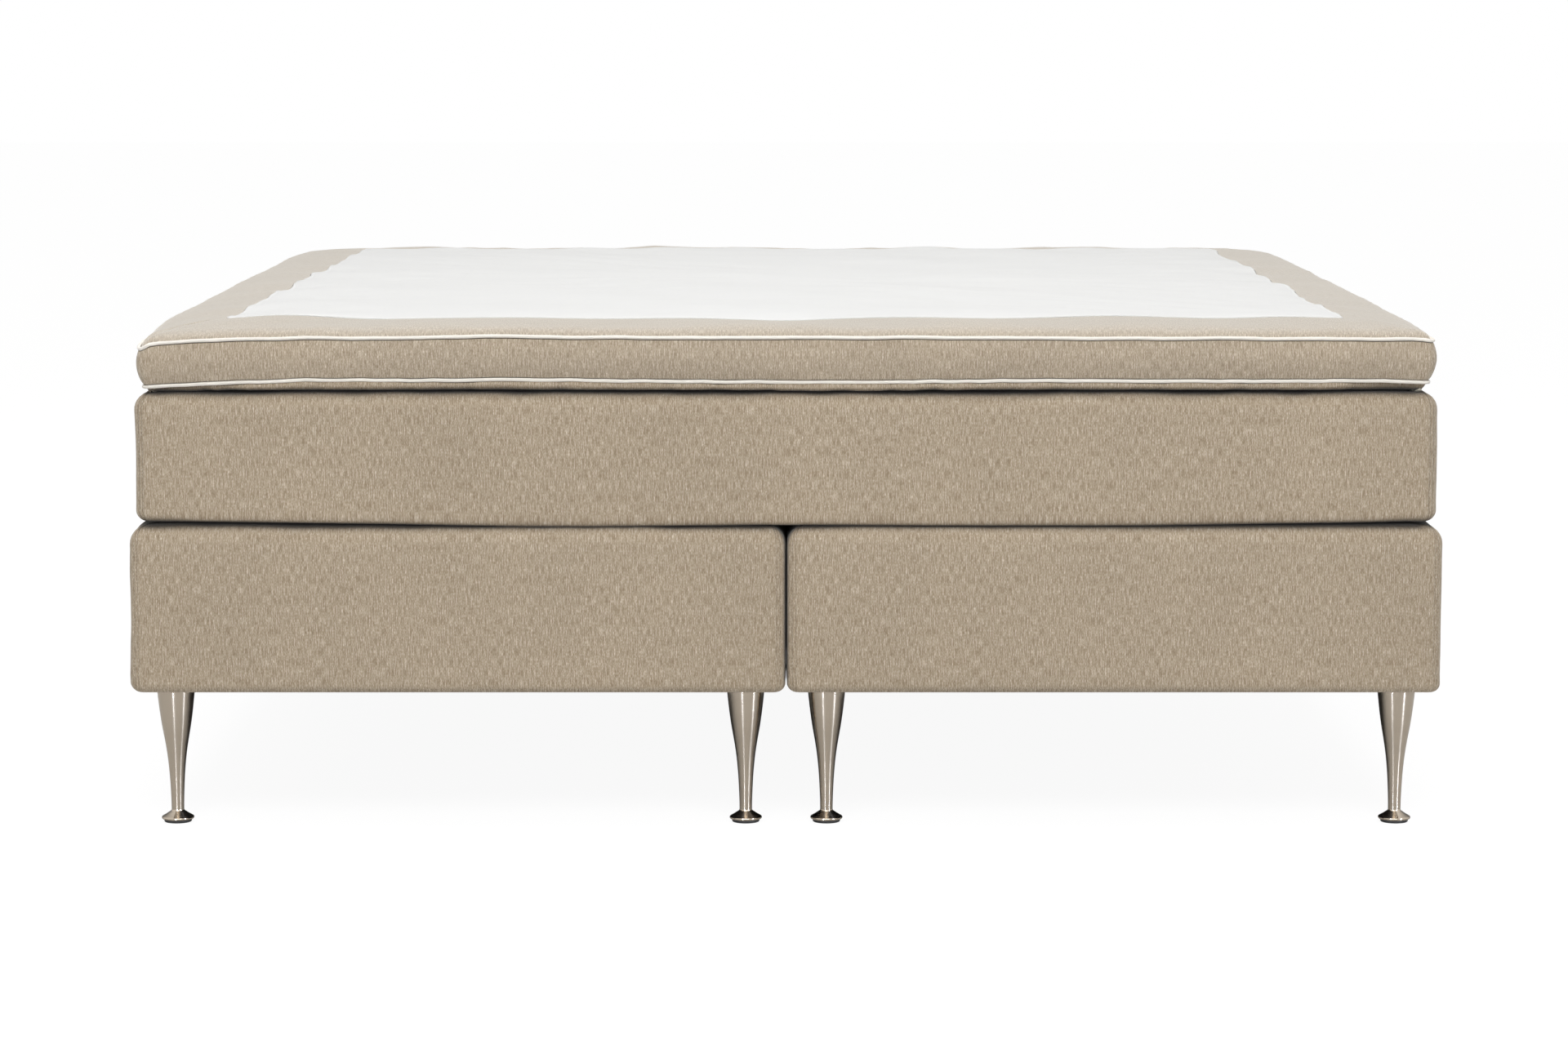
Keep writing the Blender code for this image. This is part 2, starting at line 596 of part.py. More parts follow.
def add_mattress(mattress):
    """Cover, underside panel, foams and the pocket spring core of the mattress."""
    shape = (MATTRESS_HEIGHT, MATTRESS_TOP_RADIUS, MATTRESS_BOTTOM_RADIUS, MATTRESS_CROWN)
    crown_shape = (MATTRESS_HEIGHT, MATTRESS_TOP_RADIUS, MATTRESS_CROWN, MATTRESS_CROWN_RUN)
    bottom, top = edge_rows(*shape, 0)
    rings = mattress_rings([(MATTRESS_HEM_WIDTH, 0)] + bottom + top + crown_rows(*crown_shape, 0))
    cover = add_piece("mattress_cover", loft_mesh(rings, cap_last=True), "beige_fabric", parent=mattress)
    thicken(cover, COVER_THICKNESS)
    soften(cover)

    panel_inset = MATTRESS_HEM_WIDTH + CLEARANCE
    panel_half = MATTRESS_HALF - Vector((panel_inset, panel_inset))
    panel_corner = MATTRESS_CORNER_RADIUS * SMALLEST_CORNER_SHARE
    panel = outline_data([rounded_rectangle(panel_half, panel_corner, CORNER_STEPS)], COVER_THICKNESS)
    place = (0, 0, COVER_THICKNESS / 2)
    add_piece("mattress_underside", panel, "beige_fabric", place, mattress)

    bottom, top = edge_rows(*shape, COVER_CLEAR)
    core_bottom = COVER_CLEAR + MATTRESS_FOAM_BOTTOM
    rings = mattress_rings(bottom + [(COVER_CLEAR, core_bottom)])
    lower_foam = loft_mesh(rings, cap_first=True, cap_last=True)
    add_piece("mattress_foam_bottom", lower_foam, "foam", parent=mattress)

    core_top = MATTRESS_HEIGHT - COVER_CLEAR - MATTRESS_FOAM_TOP
    rings = mattress_rings([(COVER_CLEAR, core_top)] + top + crown_rows(*crown_shape, COVER_CLEAR))
    upper_foam = loft_mesh(rings, cap_first=True, cap_last=True)
    add_piece("mattress_foam_top", upper_foam, "foam", parent=mattress)

    middle_height = core_top - core_bottom - 2 * CLEARANCE
    middle = core_bottom + CLEARANCE + middle_height / 2
    outer_half = MATTRESS_HALF - Vector((COVER_CLEAR, COVER_CLEAR))
    inner_half = outer_half - Vector((MATTRESS_SURROUND, MATTRESS_SURROUND))
    outer = rounded_rectangle(outer_half, MATTRESS_CORNER_RADIUS - COVER_CLEAR, CORNER_STEPS)
    corners = ((1, 1), (-1, 1), (-1, -1), (1, -1))
    inner = [(inner_half.x * sign_x, inner_half.y * sign_y) for sign_x, sign_y in corners]
    surround = outline_data([outer, inner], middle_height)
    add_piece("mattress_foam_surround", surround, "foam", (0, 0, middle), mattress)

    core_half = inner_half - Vector((CLEARANCE, CLEARANCE))
    core_place = core_bottom + CLEARANCE
    pitch = MATTRESS_SPRING_PITCH
    add_spring_block("mattress_spring_core", core_half, pitch, core_place, middle_height, mattress)


def topper_ring(inset, height, sag_share):
    """One ring of the topper, which sinks towards its corners by a share of the full sag."""
    inner = TOPPER_HALF - Vector((inset, inset))
    radius = max(TOPPER_CORNER_RADIUS - inset, TOPPER_CORNER_RADIUS * SMALLEST_CORNER_SHARE)
    points = []
    for point in rounded_rectangle(inner, radius, TOPPER_CORNER_STEPS, SIDE_POINT_SHARES):
        from_corner = max(TOPPER_HALF.x - abs(point.x), TOPPER_HALF.y - abs(point.y))
        nearness = max(0, 1 - from_corner / SAG_RUN)
        points.append((point.x, point.y, height - CORNER_SAG * sag_share * nearness**2))
    return points


def topper_rings(rows):
    return [topper_ring(*row) for row in rows]


def underside_rows():
    """Rows of the topper's lower panel, from its flat middle out to the lower piping."""
    start = BOTTOM_PIPING_INSET + PIPING_SEAT
    rows = [
        (start + UNDERSIDE_RUN * along, BOTTOM_PIPING_HEIGHT * rise, sag)
        for along, rise, sag in UNDERSIDE_ROW_SHARES
    ]
    return rows[::-1]


def band_rows():
    """Rows of the side band, from the lower piping up to the upper one."""
    low = BOTTOM_PIPING_HEIGHT + PIPING_SEAT
    high = TOP_PIPING_HEIGHT - PIPING_SEAT
    flat = [(0, low + (high - low) * share, 1) for share in BAND_FLAT_SHARES]
    return [(BOTTOM_PIPING_INSET, low, 1)] + flat + [(TOP_PIPING_INSET, high, 1)]


def border_rows():
    """Rows of the top border, from the upper piping in to the centre panel."""
    start = TOP_PIPING_INSET + PIPING_SEAT
    return [
        (start + (BORDER_WIDTH - start) * along, TOP_PIPING_HEIGHT + BORDER_RISE * rise, sag)
        for along, rise, sag in BORDER_ROW_SHARES
    ]


def panel_rows():
    """Rows of the centre panel, from its seam in to the flat middle."""
    start = BORDER_WIDTH + CLEARANCE
    seam = TOP_PIPING_HEIGHT + BORDER_RISE
    return [
        (start + PANEL_RUN * along, seam + PANEL_RISE * rise, sag)
        for along, rise, sag in PANEL_ROW_SHARES
    ]


def moved_in(rows, distance):
    """Section rows moved square to the surface, to its inner side."""
    places = [Vector((inset, height)) for inset, height, _ in rows]
    normals = []
    for first, second in zip(places, places[1:]):
        run = (second - first).normalized()
        normals.append(Vector((run.y, -run.x)))
    moved = []
    for index, (place, row) in enumerate(zip(places, rows)):
        before = normals[max(index - 1, 0)]
        after = normals[min(index, len(normals) - 1)]
        mitre = (before + after) / (1 + before.dot(after))
        moved.append((*(place + mitre * distance), row[2]))
    return moved


def add_piping(name, inset, height, topper):
    """The cord in its fabric tube, sewn round the topper's edge."""
    curve = bpy.data.curves.new(name, "CURVE")
    curve.dimensions = "3D"
    curve.bevel_depth = PIPING_RADIUS
    curve.bevel_resolution = 2
    curve.use_fill_caps = True
    path = topper_ring(inset, height, 1)
    spline = curve.splines.new("POLY")
    spline.points.add(len(path) - 1)
    for point, place in zip(spline.points, path):
        point.co = (*place, 1)
    spline.use_cyclic_u = True
    add_piece(name, curve, "cream_piping", parent=topper)


def add_topper(topper):
    """The foam core and the piped cover, sewn from four panels."""
    sections = {
        "topper_underside": (underside_rows(), "beige_fabric"),
        "topper_band": (band_rows(), "beige_fabric"),
        "topper_border": (border_rows(), "beige_fabric"),
        "topper_centre_panel": (panel_rows(), "white_stretch_fabric"),
    }
    for name, (rows, finish_name) in sections.items():
        first = name == "topper_underside"
        last = name == "topper_centre_panel"
        mesh = loft_mesh(topper_rings(rows), cap_first=first, cap_last=last)
        panel = add_piece(name, mesh, finish_name, parent=topper)
        thicken(panel, TOPPER_FABRIC)
        soften(panel)
    outside = underside_rows() + band_rows() + border_rows() + panel_rows()[1:]
    core_rings = topper_rings(moved_in(outside, TOPPER_CLEAR))
    core_mesh = loft_mesh(core_rings, cap_first=True, cap_last=True)
    core = add_piece("topper_core", core_mesh, "foam", parent=topper)
    soften(core)
    add_piping("topper_piping_bottom", BOTTOM_PIPING_INSET, BOTTOM_PIPING_HEIGHT, topper)
    add_piping("topper_piping_top", TOP_PIPING_INSET, TOP_PIPING_HEIGHT, topper)


def add_zip(topper):
    """The zip across the head end of the band, and the slider that runs on it."""
    rows = band_rows()
    middle = (rows[1][1] + rows[2][1]) / 2
    tape_y = TOPPER_HALF.y + CLEARANCE + ZIP_TAPE_THICKNESS / 2
    tape_mesh = box_mesh((ZIP_LENGTH, ZIP_TAPE_THICKNESS, ZIP_TAPE_HEIGHT))
    tape = add_piece("topper_zip", tape_mesh, "zip_tape", (0, tape_y, middle), topper)
    chain_depth = ZIP_TAPE_THICKNESS / 2 + ZIP_CHAIN_THICKNESS
    chain_length = ZIP_LENGTH - 2 * CUT_OVERRUN
    chain_mesh = box_mesh((chain_length, chain_depth, ZIP_CHAIN_HEIGHT))
    chain = add_helper("zip_chain", chain_mesh, (0, chain_depth / 2, 0), tape)
    boolean(tape, chain, "UNION")
    stop_depth = chain_depth + ZIP_STOP_RISE
    stop_x = (chain_length - ZIP_STOP_LENGTH) / 2
    for side, sign in SIDES.items():
        stop_mesh = box_mesh((ZIP_STOP_LENGTH, stop_depth, ZIP_CHAIN_HEIGHT - 2 * CLEARANCE))
        stop = add_helper(f"zip_stop_{side}", stop_mesh, (stop_x * sign, stop_depth / 2, 0), tape)
        boolean(tape, stop, "UNION")

    tape_face = tape_y + ZIP_TAPE_THICKNESS / 2
    slot_depth = ZIP_CHAIN_THICKNESS
    slider_depth = slot_depth + SLIDER_WALL
    slider_y = tape_face + CLEARANCE + slider_depth / 2
    slider_x = stop_x - ZIP_STOP_LENGTH / 2 - CLEARANCE - SLIDER_LENGTH / 2
    slider_mesh = box_mesh((SLIDER_LENGTH, slider_depth, SLIDER_HEIGHT))
    slider = add_piece("zip_slider", slider_mesh, "zinc_steel", (slider_x, slider_y, middle), topper)
    round_off(slider, SLIDER_BEVEL)
    slot_size = (
        SLIDER_LENGTH + 2 * CUT_OVERRUN,
        slot_depth + CUT_OVERRUN,
        ZIP_CHAIN_HEIGHT + 2 * CLEARANCE,
    )
    slot_y = slot_depth - slider_depth / 2 - slot_size[1] / 2
    slot = add_helper("slider_slot", box_mesh(slot_size), (0, slot_y, 0), slider)
    boolean(slider, slot, "DIFFERENCE")


clear_scene()
bed = new_collection("box_spring_bed")
cutters = new_collection("cutters")

for base_side, base_sign in SIDES.items():
    base_x = (BASE_WIDTH + BASE_GAP) / 2 * base_sign
    base_origin = add_empty(f"base_{base_side}", (base_x, 0, UNDERSIDE_HEIGHT))
    add_legs(base_side, base_origin)
    add_frame(base_side, base_origin)
    add_leg_boards(base_side, base_origin)
    add_base_upholstery(base_side, base_origin)
add_link_plates()

mattress_origin = add_empty("mattress", (0, 0, MATTRESS_BOTTOM))
add_mattress(mattress_origin)
topper_origin = add_empty("topper", (0, 0, TOPPER_BOTTOM - MATTRESS_BOTTOM), mattress_origin)
add_topper(topper_origin)
add_zip(topper_origin)
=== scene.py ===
"""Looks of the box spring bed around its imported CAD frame.

Metres, +Z up. X runs across the bed and -Y is its foot end, which the camera faces.
"""

import math
from collections import namedtuple

import bpy
import numpy as np
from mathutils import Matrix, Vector


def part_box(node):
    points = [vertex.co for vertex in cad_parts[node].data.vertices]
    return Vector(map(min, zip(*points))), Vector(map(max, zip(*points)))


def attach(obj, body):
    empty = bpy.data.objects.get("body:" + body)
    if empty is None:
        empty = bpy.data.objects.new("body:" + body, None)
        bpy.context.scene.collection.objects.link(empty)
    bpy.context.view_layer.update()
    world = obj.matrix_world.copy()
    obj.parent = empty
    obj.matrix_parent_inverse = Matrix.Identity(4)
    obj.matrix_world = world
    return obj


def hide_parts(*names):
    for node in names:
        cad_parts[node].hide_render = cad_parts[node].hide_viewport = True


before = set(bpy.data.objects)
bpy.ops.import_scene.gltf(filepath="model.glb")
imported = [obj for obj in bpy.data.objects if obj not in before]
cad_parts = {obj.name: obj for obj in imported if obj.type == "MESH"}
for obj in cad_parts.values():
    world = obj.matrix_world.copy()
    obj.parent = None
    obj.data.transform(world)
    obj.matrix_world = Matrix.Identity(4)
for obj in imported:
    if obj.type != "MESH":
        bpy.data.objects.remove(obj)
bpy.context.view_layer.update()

QUARTER = math.pi / 2

# The foot end's number among an outline's sides, and more than any angle between two columns
FOOT = 2
FAR = 9

# Camera, found from points measured on the photograph
CAMERA_PLACE = (-0.0029, -6.783, 1.118)
CAMERA_DOWN = math.radians(6.836)
CAMERA_LENS = 97.93
SENSOR_WIDTH = 36.0

# Light: the world's level at the horizon and overhead, its tint, and the tint of the lamps that light
# only metal
WORLD_LEVELS = (0.36, 0.52)
WORLD_TINT = (1.0, 0.995, 0.985)
STRIP_TINT = (0.86, 0.97, 1.18)

# Floor
FLOOR_REACH = 30
FLOOR_LEVEL = -0.0006

# Outlines and cloth
SMALLEST_CORNER_SHARE = 0.3
ARC_STEP = 0.0011
SIDE_STEP = 0.015
CLOTH = 0.0012
SPINE_CLEAR = 0.02

# Upholstered boxes
BoxShape = namedtuple("BoxShape", "corner_radius hem bottom_radius top_radius crown crown_run")
BASE = BoxShape(corner_radius=0.018, hem=0.026, bottom_radius=0.013, top_radius=0.027, crown=0.003,
                crown_run=0.110)
MATTRESS = BoxShape(corner_radius=0.022, hem=0.045, bottom_radius=0.016, top_radius=0.025, crown=0.004,
                    crown_run=0.120)
BOX_ROW_STEP = 0.012
BOX_TOP_STEP = 0.045
BOX_PLUMP = 0.0004
DEEPEST = -0.0011
SEAM_INSETS = (0.0066, 0.0114)
GROOVE_DEPTH = 0.0011
GROOVE_WIDTH = 0.0010
BASE_SWELL = 0.00094
INNER_SIDE_CALM = 0.05
RIGHT_SIDE_CALM = 0.3
RIGHT_SIDE_SHARE = 0.4
RIGHT_SIDE_TUCK = 0.0008
MATTRESS_SQUARING = 0.0038
MATTRESS_SAG = 0.0045
MATTRESS_CLEAR = 0.0006

# Sewing thread
STITCH_PITCH = 0.0052
STITCH_LENGTH = 0.0036
STITCH_RADIUS = 0.00042
STITCH_PROFILE = ((-1.0, 0.15), (-0.75, 0.8), (0.0, 1.0), (0.75, 0.8), (1.0, 0.15))
STITCH_SIDES = 6
THREAD_LIFT = 0.0001

# Topper
TOPPER_CORNER_RADIUS = 0.020
CORD_RADIUS = 0.0024
CORD_SEAT = 0.0026
CORD_SIDES = 12
CORD_QUIVER = 0.0003
LOW_CORD_INSET = 0.0085
LOW_CORD_HEIGHT = 0.0123
HIGH_CORD_INSET = 0.0060
HIGH_CORD_HEIGHT = 0.0714
SIDE_CORD_DROP = 0.0045
UNDERSIDE_RUN = 0.045
UNDERSIDE_FLAT_ROWS = 17
UNDERSIDE_BULGE = 0.0012
UNDERSIDE_FOLD = 0.0030
UNDERSIDE_FOLD_PITCH = 0.050
BAND_CURVE_SHARE = 0.24
BAND_TOP_TURN = 0.45
BAND_SWELL = 0.0008
BAND_TUCK = 0.0008
BAND_TUCK_SHARE = 0.03
BORDER_WIDTH = 0.125
BORDER_RISE = 0.0080
BORDER_CURVE = 2.7
BORDER_PUFF = 0.0100
BORDER_PUFF_RUN = 0.005
BORDER_FOLD = 0.0010
BORDER_FOLD_PITCH = 0.060
BORDER_FOLD_BELL = (0.09, 0.08)
BORDER_SEAM_DIPS = (0.0016, 0.0012)
BORDER_SEAM_SHARE = 0.012
PANEL_PUFF = 0.0026
PANEL_PUFF_RUN = 0.012
PANEL_RISE = 0.0010
PANEL_RUN = 0.175
SEAM_LEANS = {-1: (-0.019, 0.010), 1: (0.015, 0.0)}
LEAN_RUN = 0.5
SIDE_SHOULDER = 0.0028
CORE_CLEAR = 0.0022

# Sags and dips of the topper's corners, left and right, and the pinch of its cloth at them
FRONT_SAGS = (0.010, 0.0030)
BACK_SAGS = (0.0065, 0.0080)
SAG_RUN = 0.300
CORNER_DIPS = (0.0065, 0.0015)
CORNER_DIP_RUN = 0.012
CORNER_DIP_REACH = 0.018
CORNER_PINCH = 0.0030

# Random waves as pairs of size and wavelength
BOX_WAVES = ((0.0007, 0.26), (0.00035, 0.060))
DROOP_WAVES = ((0.0016, 0.5), (0.0006, 0.12))
LOW_CORD_WAVES = ((0.0014, 0.34), (0.0005, 0.11))
HIGH_CORD_WAVES = ((0.0005, 0.30), (0.0002, 0.10))
BAND_WAVES = ((0.0010, 0.20), (0.0003, 0.05))
SEAM_WAVES = ((0.0016, 0.30), (0.0015, 0.11))
SEAM_LIFT_WAVES = ((0.0016, 0.16),)
BORDER_WAVES = ((0.0012, 0.22), (0.0004, 0.05))
PANEL_WAVES = ((0.0013, 0.30), (0.0005, 0.09))

# Where a form fades in or out, as the place where that begins and the run that it takes
SIDE_FADE = (0.0, 0.02)
TOP_FADE = (0.02, 0.05)
SEAM_FADE = (0.05, 0.02)
DROOP_UP_FADE = (0.015, 0.085)
DROOP_IN_FADE = (0.012, 0.033)

# The same by distance from the corners
SWELL_CLEAR = (0.025, 0.05)
DROOP_CLEAR = (0.02, 0.12)
SQUARING_CLEAR = (0.01, 0.08)
CORD_WAVES_CLEAR = (0.015, 0.06)
CORD_DROP_CLEAR = (0.03, 0.10)
SHOULDER_CLEAR = (0.0, 0.12)
BULGE_CLEAR = (0.05, 0.14)
UNDERSIDE_FOLDS_CLEAR = (0.0, 0.06)
BORDER_FOLDS_CLEAR = (0.0, 0.05)
SEAM_CLEAR = (0.0, 0.10)

# The underside inward from the low cord: inset where it bulges and near a corner, share of the cord's height,
# and share of the folds
UNDERSIDE_SECTION = (
    (0.0, 0.0, 1.0, 0.0), (-0.0022, 0.0008, 0.90, 0.5), (-0.0042, 0.0020, 0.74, 0.8),
    (-0.0050, 0.0035, 0.55, 1.0), (-0.0043, 0.0055, 0.34, 1.0), (-0.0020, 0.0090, 0.12, 0.8),
    (0.0022, 0.0140, -0.04, 0.5), (0.0080, 0.0200, -0.12, 0.2), (0.0160, 0.0280, -0.13, 0.0),
    (0.0280, 0.0360, -0.06, 0.0), (0.0450, 0.0450, 0.0, 0.0),
)
BAND_SHARES = np.array((0, 0.02, 0.05, 0.10, 0.18, 0.28, 0.40, 0.52, 0.64, 0.76, 0.86, 0.93, 0.97, 1.0))
BORDER_SHARES = np.array((0, 0.006, 0.016, 0.03, 0.05, *np.linspace(0.08, 0.94, 15), 0.965, 0.985, 1.0))

# The centre panel's seam, as distance from the border and height of its bead
PANEL_BEAD = (
    (0.0006, -0.0010), (0.0014, 0.0006), (0.0026, 0.0004), (0.0040, -0.0008), (0.0070, -0.0006),
    (0.0120, -0.0002),
)

# How far the front of each soft edge hangs, in millimetres, by its place across the bed
MATTRESS_DROOP = (
    (-0.85, -0.6), (-0.70, 1.4), (-0.52, 3.6), (-0.42, 6.6), (-0.30, 8.6), (-0.14, 6.4),
    (-0.02, 4.4), (0.20, 6.6), (0.46, 6.4), (0.58, 4.2), (0.70, 2.2), (0.82, 0.8),
)
LOW_CORD_DROOP = (
    (-0.86, 0.5), (-0.75, 1.0), (-0.68, -0.5), (-0.52, 0.2), (-0.36, -1.2), (-0.22, 0.6),
    (-0.06, 2.4), (0.14, 2.6), (0.30, 0.2), (0.46, 1.0), (0.66, 1.0), (0.80, -1.0),
)
HIGH_CORD_DROOP = (
    (-0.86, 1.0), (-0.72, 0.2), (-0.56, 1.5), (-0.40, -1.6), (-0.26, 0.2), (-0.06, 0.6),
    (0.20, 0.0), (0.40, 1.4), (0.60, 1.0), (0.74, 1.8), (0.86, -0.5),
)
PANEL_SEAM_DROOP = (
    (-0.77, -4.8), (-0.74, -3.0), (-0.65, 2.2), (-0.58, 0.8), (-0.44, -0.8), (-0.30, 1.4), (-0.15, 0.0),
    (-0.06, 2.2), (0.01, 4.8), (0.06, 1.2), (0.19, -1.3), (0.33, 1.0), (0.42, -0.6), (0.49, -3.4),
    (0.56, -2.4), (0.68, 1.3), (0.77, -2.0),
)

# Legs: radius by distance below the base, and radius by height of the foot disc
LEG_OUTLINE = (
    (0.0259, 0.0015), (0.0254, 0.010), (0.0243, 0.020), (0.0229, 0.032), (0.0214, 0.043), (0.0197, 0.054),
    (0.0177, 0.065), (0.0156, 0.077), (0.0139, 0.088), (0.0125, 0.099), (0.0114, 0.110), (0.0105, 0.121),
    (0.0098, 0.133), (0.0092, 0.146), (0.0088, 0.158), (0.0087, 0.168),
)
FOOT_OUTLINE = (
    (0.0087, 0.0142), (0.0090, 0.0130), (0.0100, 0.0118), (0.0124, 0.0102), (0.0160, 0.0078),
    (0.0194, 0.0058), (0.0214, 0.0046), (0.0222, 0.0038), (0.0225, 0.0028), (0.0222, 0.0018),
    (0.0212, 0.0008), (0.0190, 0.0),
)
LEG_TOP_RADIUS = 0.0250
LEG_IN_COVER = 0.0012
CURVE_PARTS = 3
AXIS_RADIUS = 0.0001
ROUND_WEAVE = 0.02
GLIDE_EDGE = 0.0008

# Timber: how fine the grain is along each axis, and the thickness of the tee nuts' flanges on the boards
GRAIN_ALONG_X = (2.2, 34, 34)
GRAIN_ALONG_Y = (34, 2.2, 34)
INSERT_HEIGHT = 0.0014

# Zip
TAPE_GRID = (120, 9)
TAPE_THICK = 0.0007
TAPE_BOW = 0.00035
TAPE_LIFT = 0.0001
ZIP_FACE = 0.0008
ZIP_END = 0.006
TOOTH_PITCH = 0.0022
TOOTH_SIZE = (0.0015, 0.0013, 0.0026)
TOOTH_LIFT = 0.0007
STOP_INSET = 0.004
STOP_SIZE = (0.004, 0.0022, 0.0048)
STOP_LIFT = 0.0011


# Curves and random fields
def smooth(x):
    """0 below 0, 1 above 1, with a smooth rise between."""
    x = np.clip(x, 0, 1)
    return x * x * (3 - 2 * x)


def rise(x, start, run):
    """0 up to a start and 1 past its run, with a smooth rise between."""
    return smooth((x - start) / run)


def fall(x, start, run):
    """1 up to a start and 0 past its run."""
    return 1 - rise(x, start, run)


def bell(x, middle, width):
    """1 at its middle, falling off on both sides."""
    return np.exp(-(((x - middle) / width) ** 2))


def ripple(points, wavelength, seed, count=18):
    """A smooth random field of about unit size over points in space."""
    random = np.random.default_rng(seed)
    directions = random.normal(size=(count, points.shape[-1]))
    directions /= np.linalg.norm(directions, axis=1)[:, None]
    waves = 2 * np.pi / (wavelength * random.uniform(0.7, 1.5, count))
    phases = random.uniform(0, 2 * np.pi, count)
    field = np.cos(points @ (directions * waves[:, None]).T + phases)
    return field.sum(axis=-1) / math.sqrt(count / 2)


def ripples(points, waves, seed):
    """A sum of random fields of given sizes and wavelengths, with seeds that count up."""
    return sum(size * ripple(points, wavelength, seed + k) for k, (size, wavelength) in enumerate(waves))


def puckers(along, spacing, seed):
    """Narrow uneven folds along an edge, from 0 between them to 1 on a fold."""
    random = np.random.default_rng(seed)
    total = np.zeros_like(along)
    place = along.min()
    while place < along.max():
        place += random.uniform(0.5, 1.6) * spacing
        width = random.uniform(0.12, 0.3) * spacing
        total += random.uniform(0.3, 1.0) * bell(along, place, width)
    return np.clip(total, 0, 1.2)


def table_curve(table, x):
    """A smooth curve through a table of (place, millimetres), in metres."""
    places, values = np.array(table).T
    fine = np.linspace(places[0], places[-1], 400)
    kernel = np.hanning(41)
    padded = np.pad(np.interp(fine, places, values), 20, mode="edge")
    soft = np.convolve(padded, kernel / kernel.sum(), mode="valid")
    return np.interp(x, fine, soft) / 1000


def run_length(points):
    """The length run along a line of points, from 0 at the first."""
    steps = np.linalg.norm(np.diff(np.array(points), axis=0), axis=1)
    return np.concatenate([[0], np.cumsum(steps)])


# Outlines
def plan(node):
    """The middle and the half size of a node's box, seen from above."""
    low, high = (np.array(corner[:2]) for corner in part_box(node))
    return (low + high) / 2, (high - low) / 2


class Outline:
    """Columns round a node's rounded box, close together on its corners, from the middle of its head side."""

    def __init__(self, node, radius):
        self.centre, self.half = plan(node)
        self.radius = radius
        table = np.array(self.columns())
        self.first = table[:, 0].astype(int)
        self.angle = table[:, 1]
        self.second = table[:, 2].astype(int)
        self.share = table[:, 3]
        self.outward = np.stack([np.cos(self.angle), np.sin(self.angle)], axis=1)
        self.sides = np.floor(self.angle / QUARTER - 0.5).astype(int) % 4
        self.ring = self.at(0)
        self.ring3 = np.column_stack([self.ring, np.zeros(len(self.ring))])
        self.along = run_length(np.concatenate([self.ring, self.ring[:1]]))
        corners = [self.along[self.nearest((turn + 0.5) * QUARTER, self.first == turn)] for turn in range(4)]
        self.corner_distance = np.min([np.abs(self.along[:-1] - corner) for corner in corners], axis=0)

    def columns(self):
        """Each column's corner, the way it faces, the corner that follows, and its share of the way there."""
        arc_count = math.ceil(self.radius * QUARTER / ARC_STEP)
        rows = []

        def side(turn, first, last):
            length = 2 * self.half[turn % 2] - 2 * self.radius
            count = max(1, round(length * (last - first) / SIDE_STEP))
            for share in np.linspace(first, last, count, endpoint=False):
                rows.append((turn, (turn + 1) * QUARTER, (turn + 1) % 4, share))

        def arc(turn):
            for step in range(arc_count):
                rows.append((turn, (turn + step / arc_count) * QUARTER, turn, 0.0))

        side(0, 0.5, 1.0)
        for turn in (1, 2, 3):
            arc(turn)
            side(turn, 0.0, 1.0)
        arc(0)
        side(0, 0.0, 0.5)
        return rows

    def nearest(self, angle, allowed):
        """The column that faces an angle best, of those allowed."""
        return int(np.argmin(np.abs(self.angle - angle) + FAR * ~allowed))

    def at(self, inset):
        """The (x, y) of every column at an inset from the outside."""
        inner = self.half - inset
        radius = max(self.radius - inset, self.radius * SMALLEST_CORNER_SHARE)
        signs = np.array(((1, 1), (-1, 1), (-1, -1), (1, -1)))
        centres = signs * (inner - radius)
        arm = self.outward * radius
        start = centres[self.first] + arm
        end = centres[self.second] + arm
        return self.centre + start + (end - start) * self.share[:, None]

    def clear(self, start, run):
        """0 near the corners, rising to 1 over a run."""
        return rise(self.corner_distance, start, run)


def normals_of(points):
    """Outward normals of a grid of points whose columns close on themselves."""
    along = np.roll(points, -1, axis=1) - np.roll(points, 1, axis=1)
    normal = np.cross(along, np.gradient(points, axis=0))
    return normal / np.maximum(np.linalg.norm(normal, axis=2, keepdims=True), 1e-12)


# Meshes
def new_piece(name, verts, faces, uvs, material, body, replaced=(), solid=CLOTH):
    """A mesh piece with its weave coordinates, riding on a body of the frame."""
    mesh = bpy.data.meshes.new(name)
    mesh.from_pydata([tuple(v) for v in verts.tolist()], [], faces)
    if uvs is not None:
        layer = mesh.uv_layers.new(name="weave")
        layer.data.foreach_set("uv", np.asarray(uvs, dtype=np.float32).ravel())
    mesh.shade_smooth()
    mesh.materials.append(material)
    piece = bpy.data.objects.new(name, mesh)
    bpy.context.scene.collection.objects.link(piece)
    if solid:
        modifier = piece.modifiers.new("thickness", "SOLIDIFY")
        modifier.thickness = solid
        modifier.offset = -1
    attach(piece, body)
    if replaced:
        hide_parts(*replaced)
    return piece


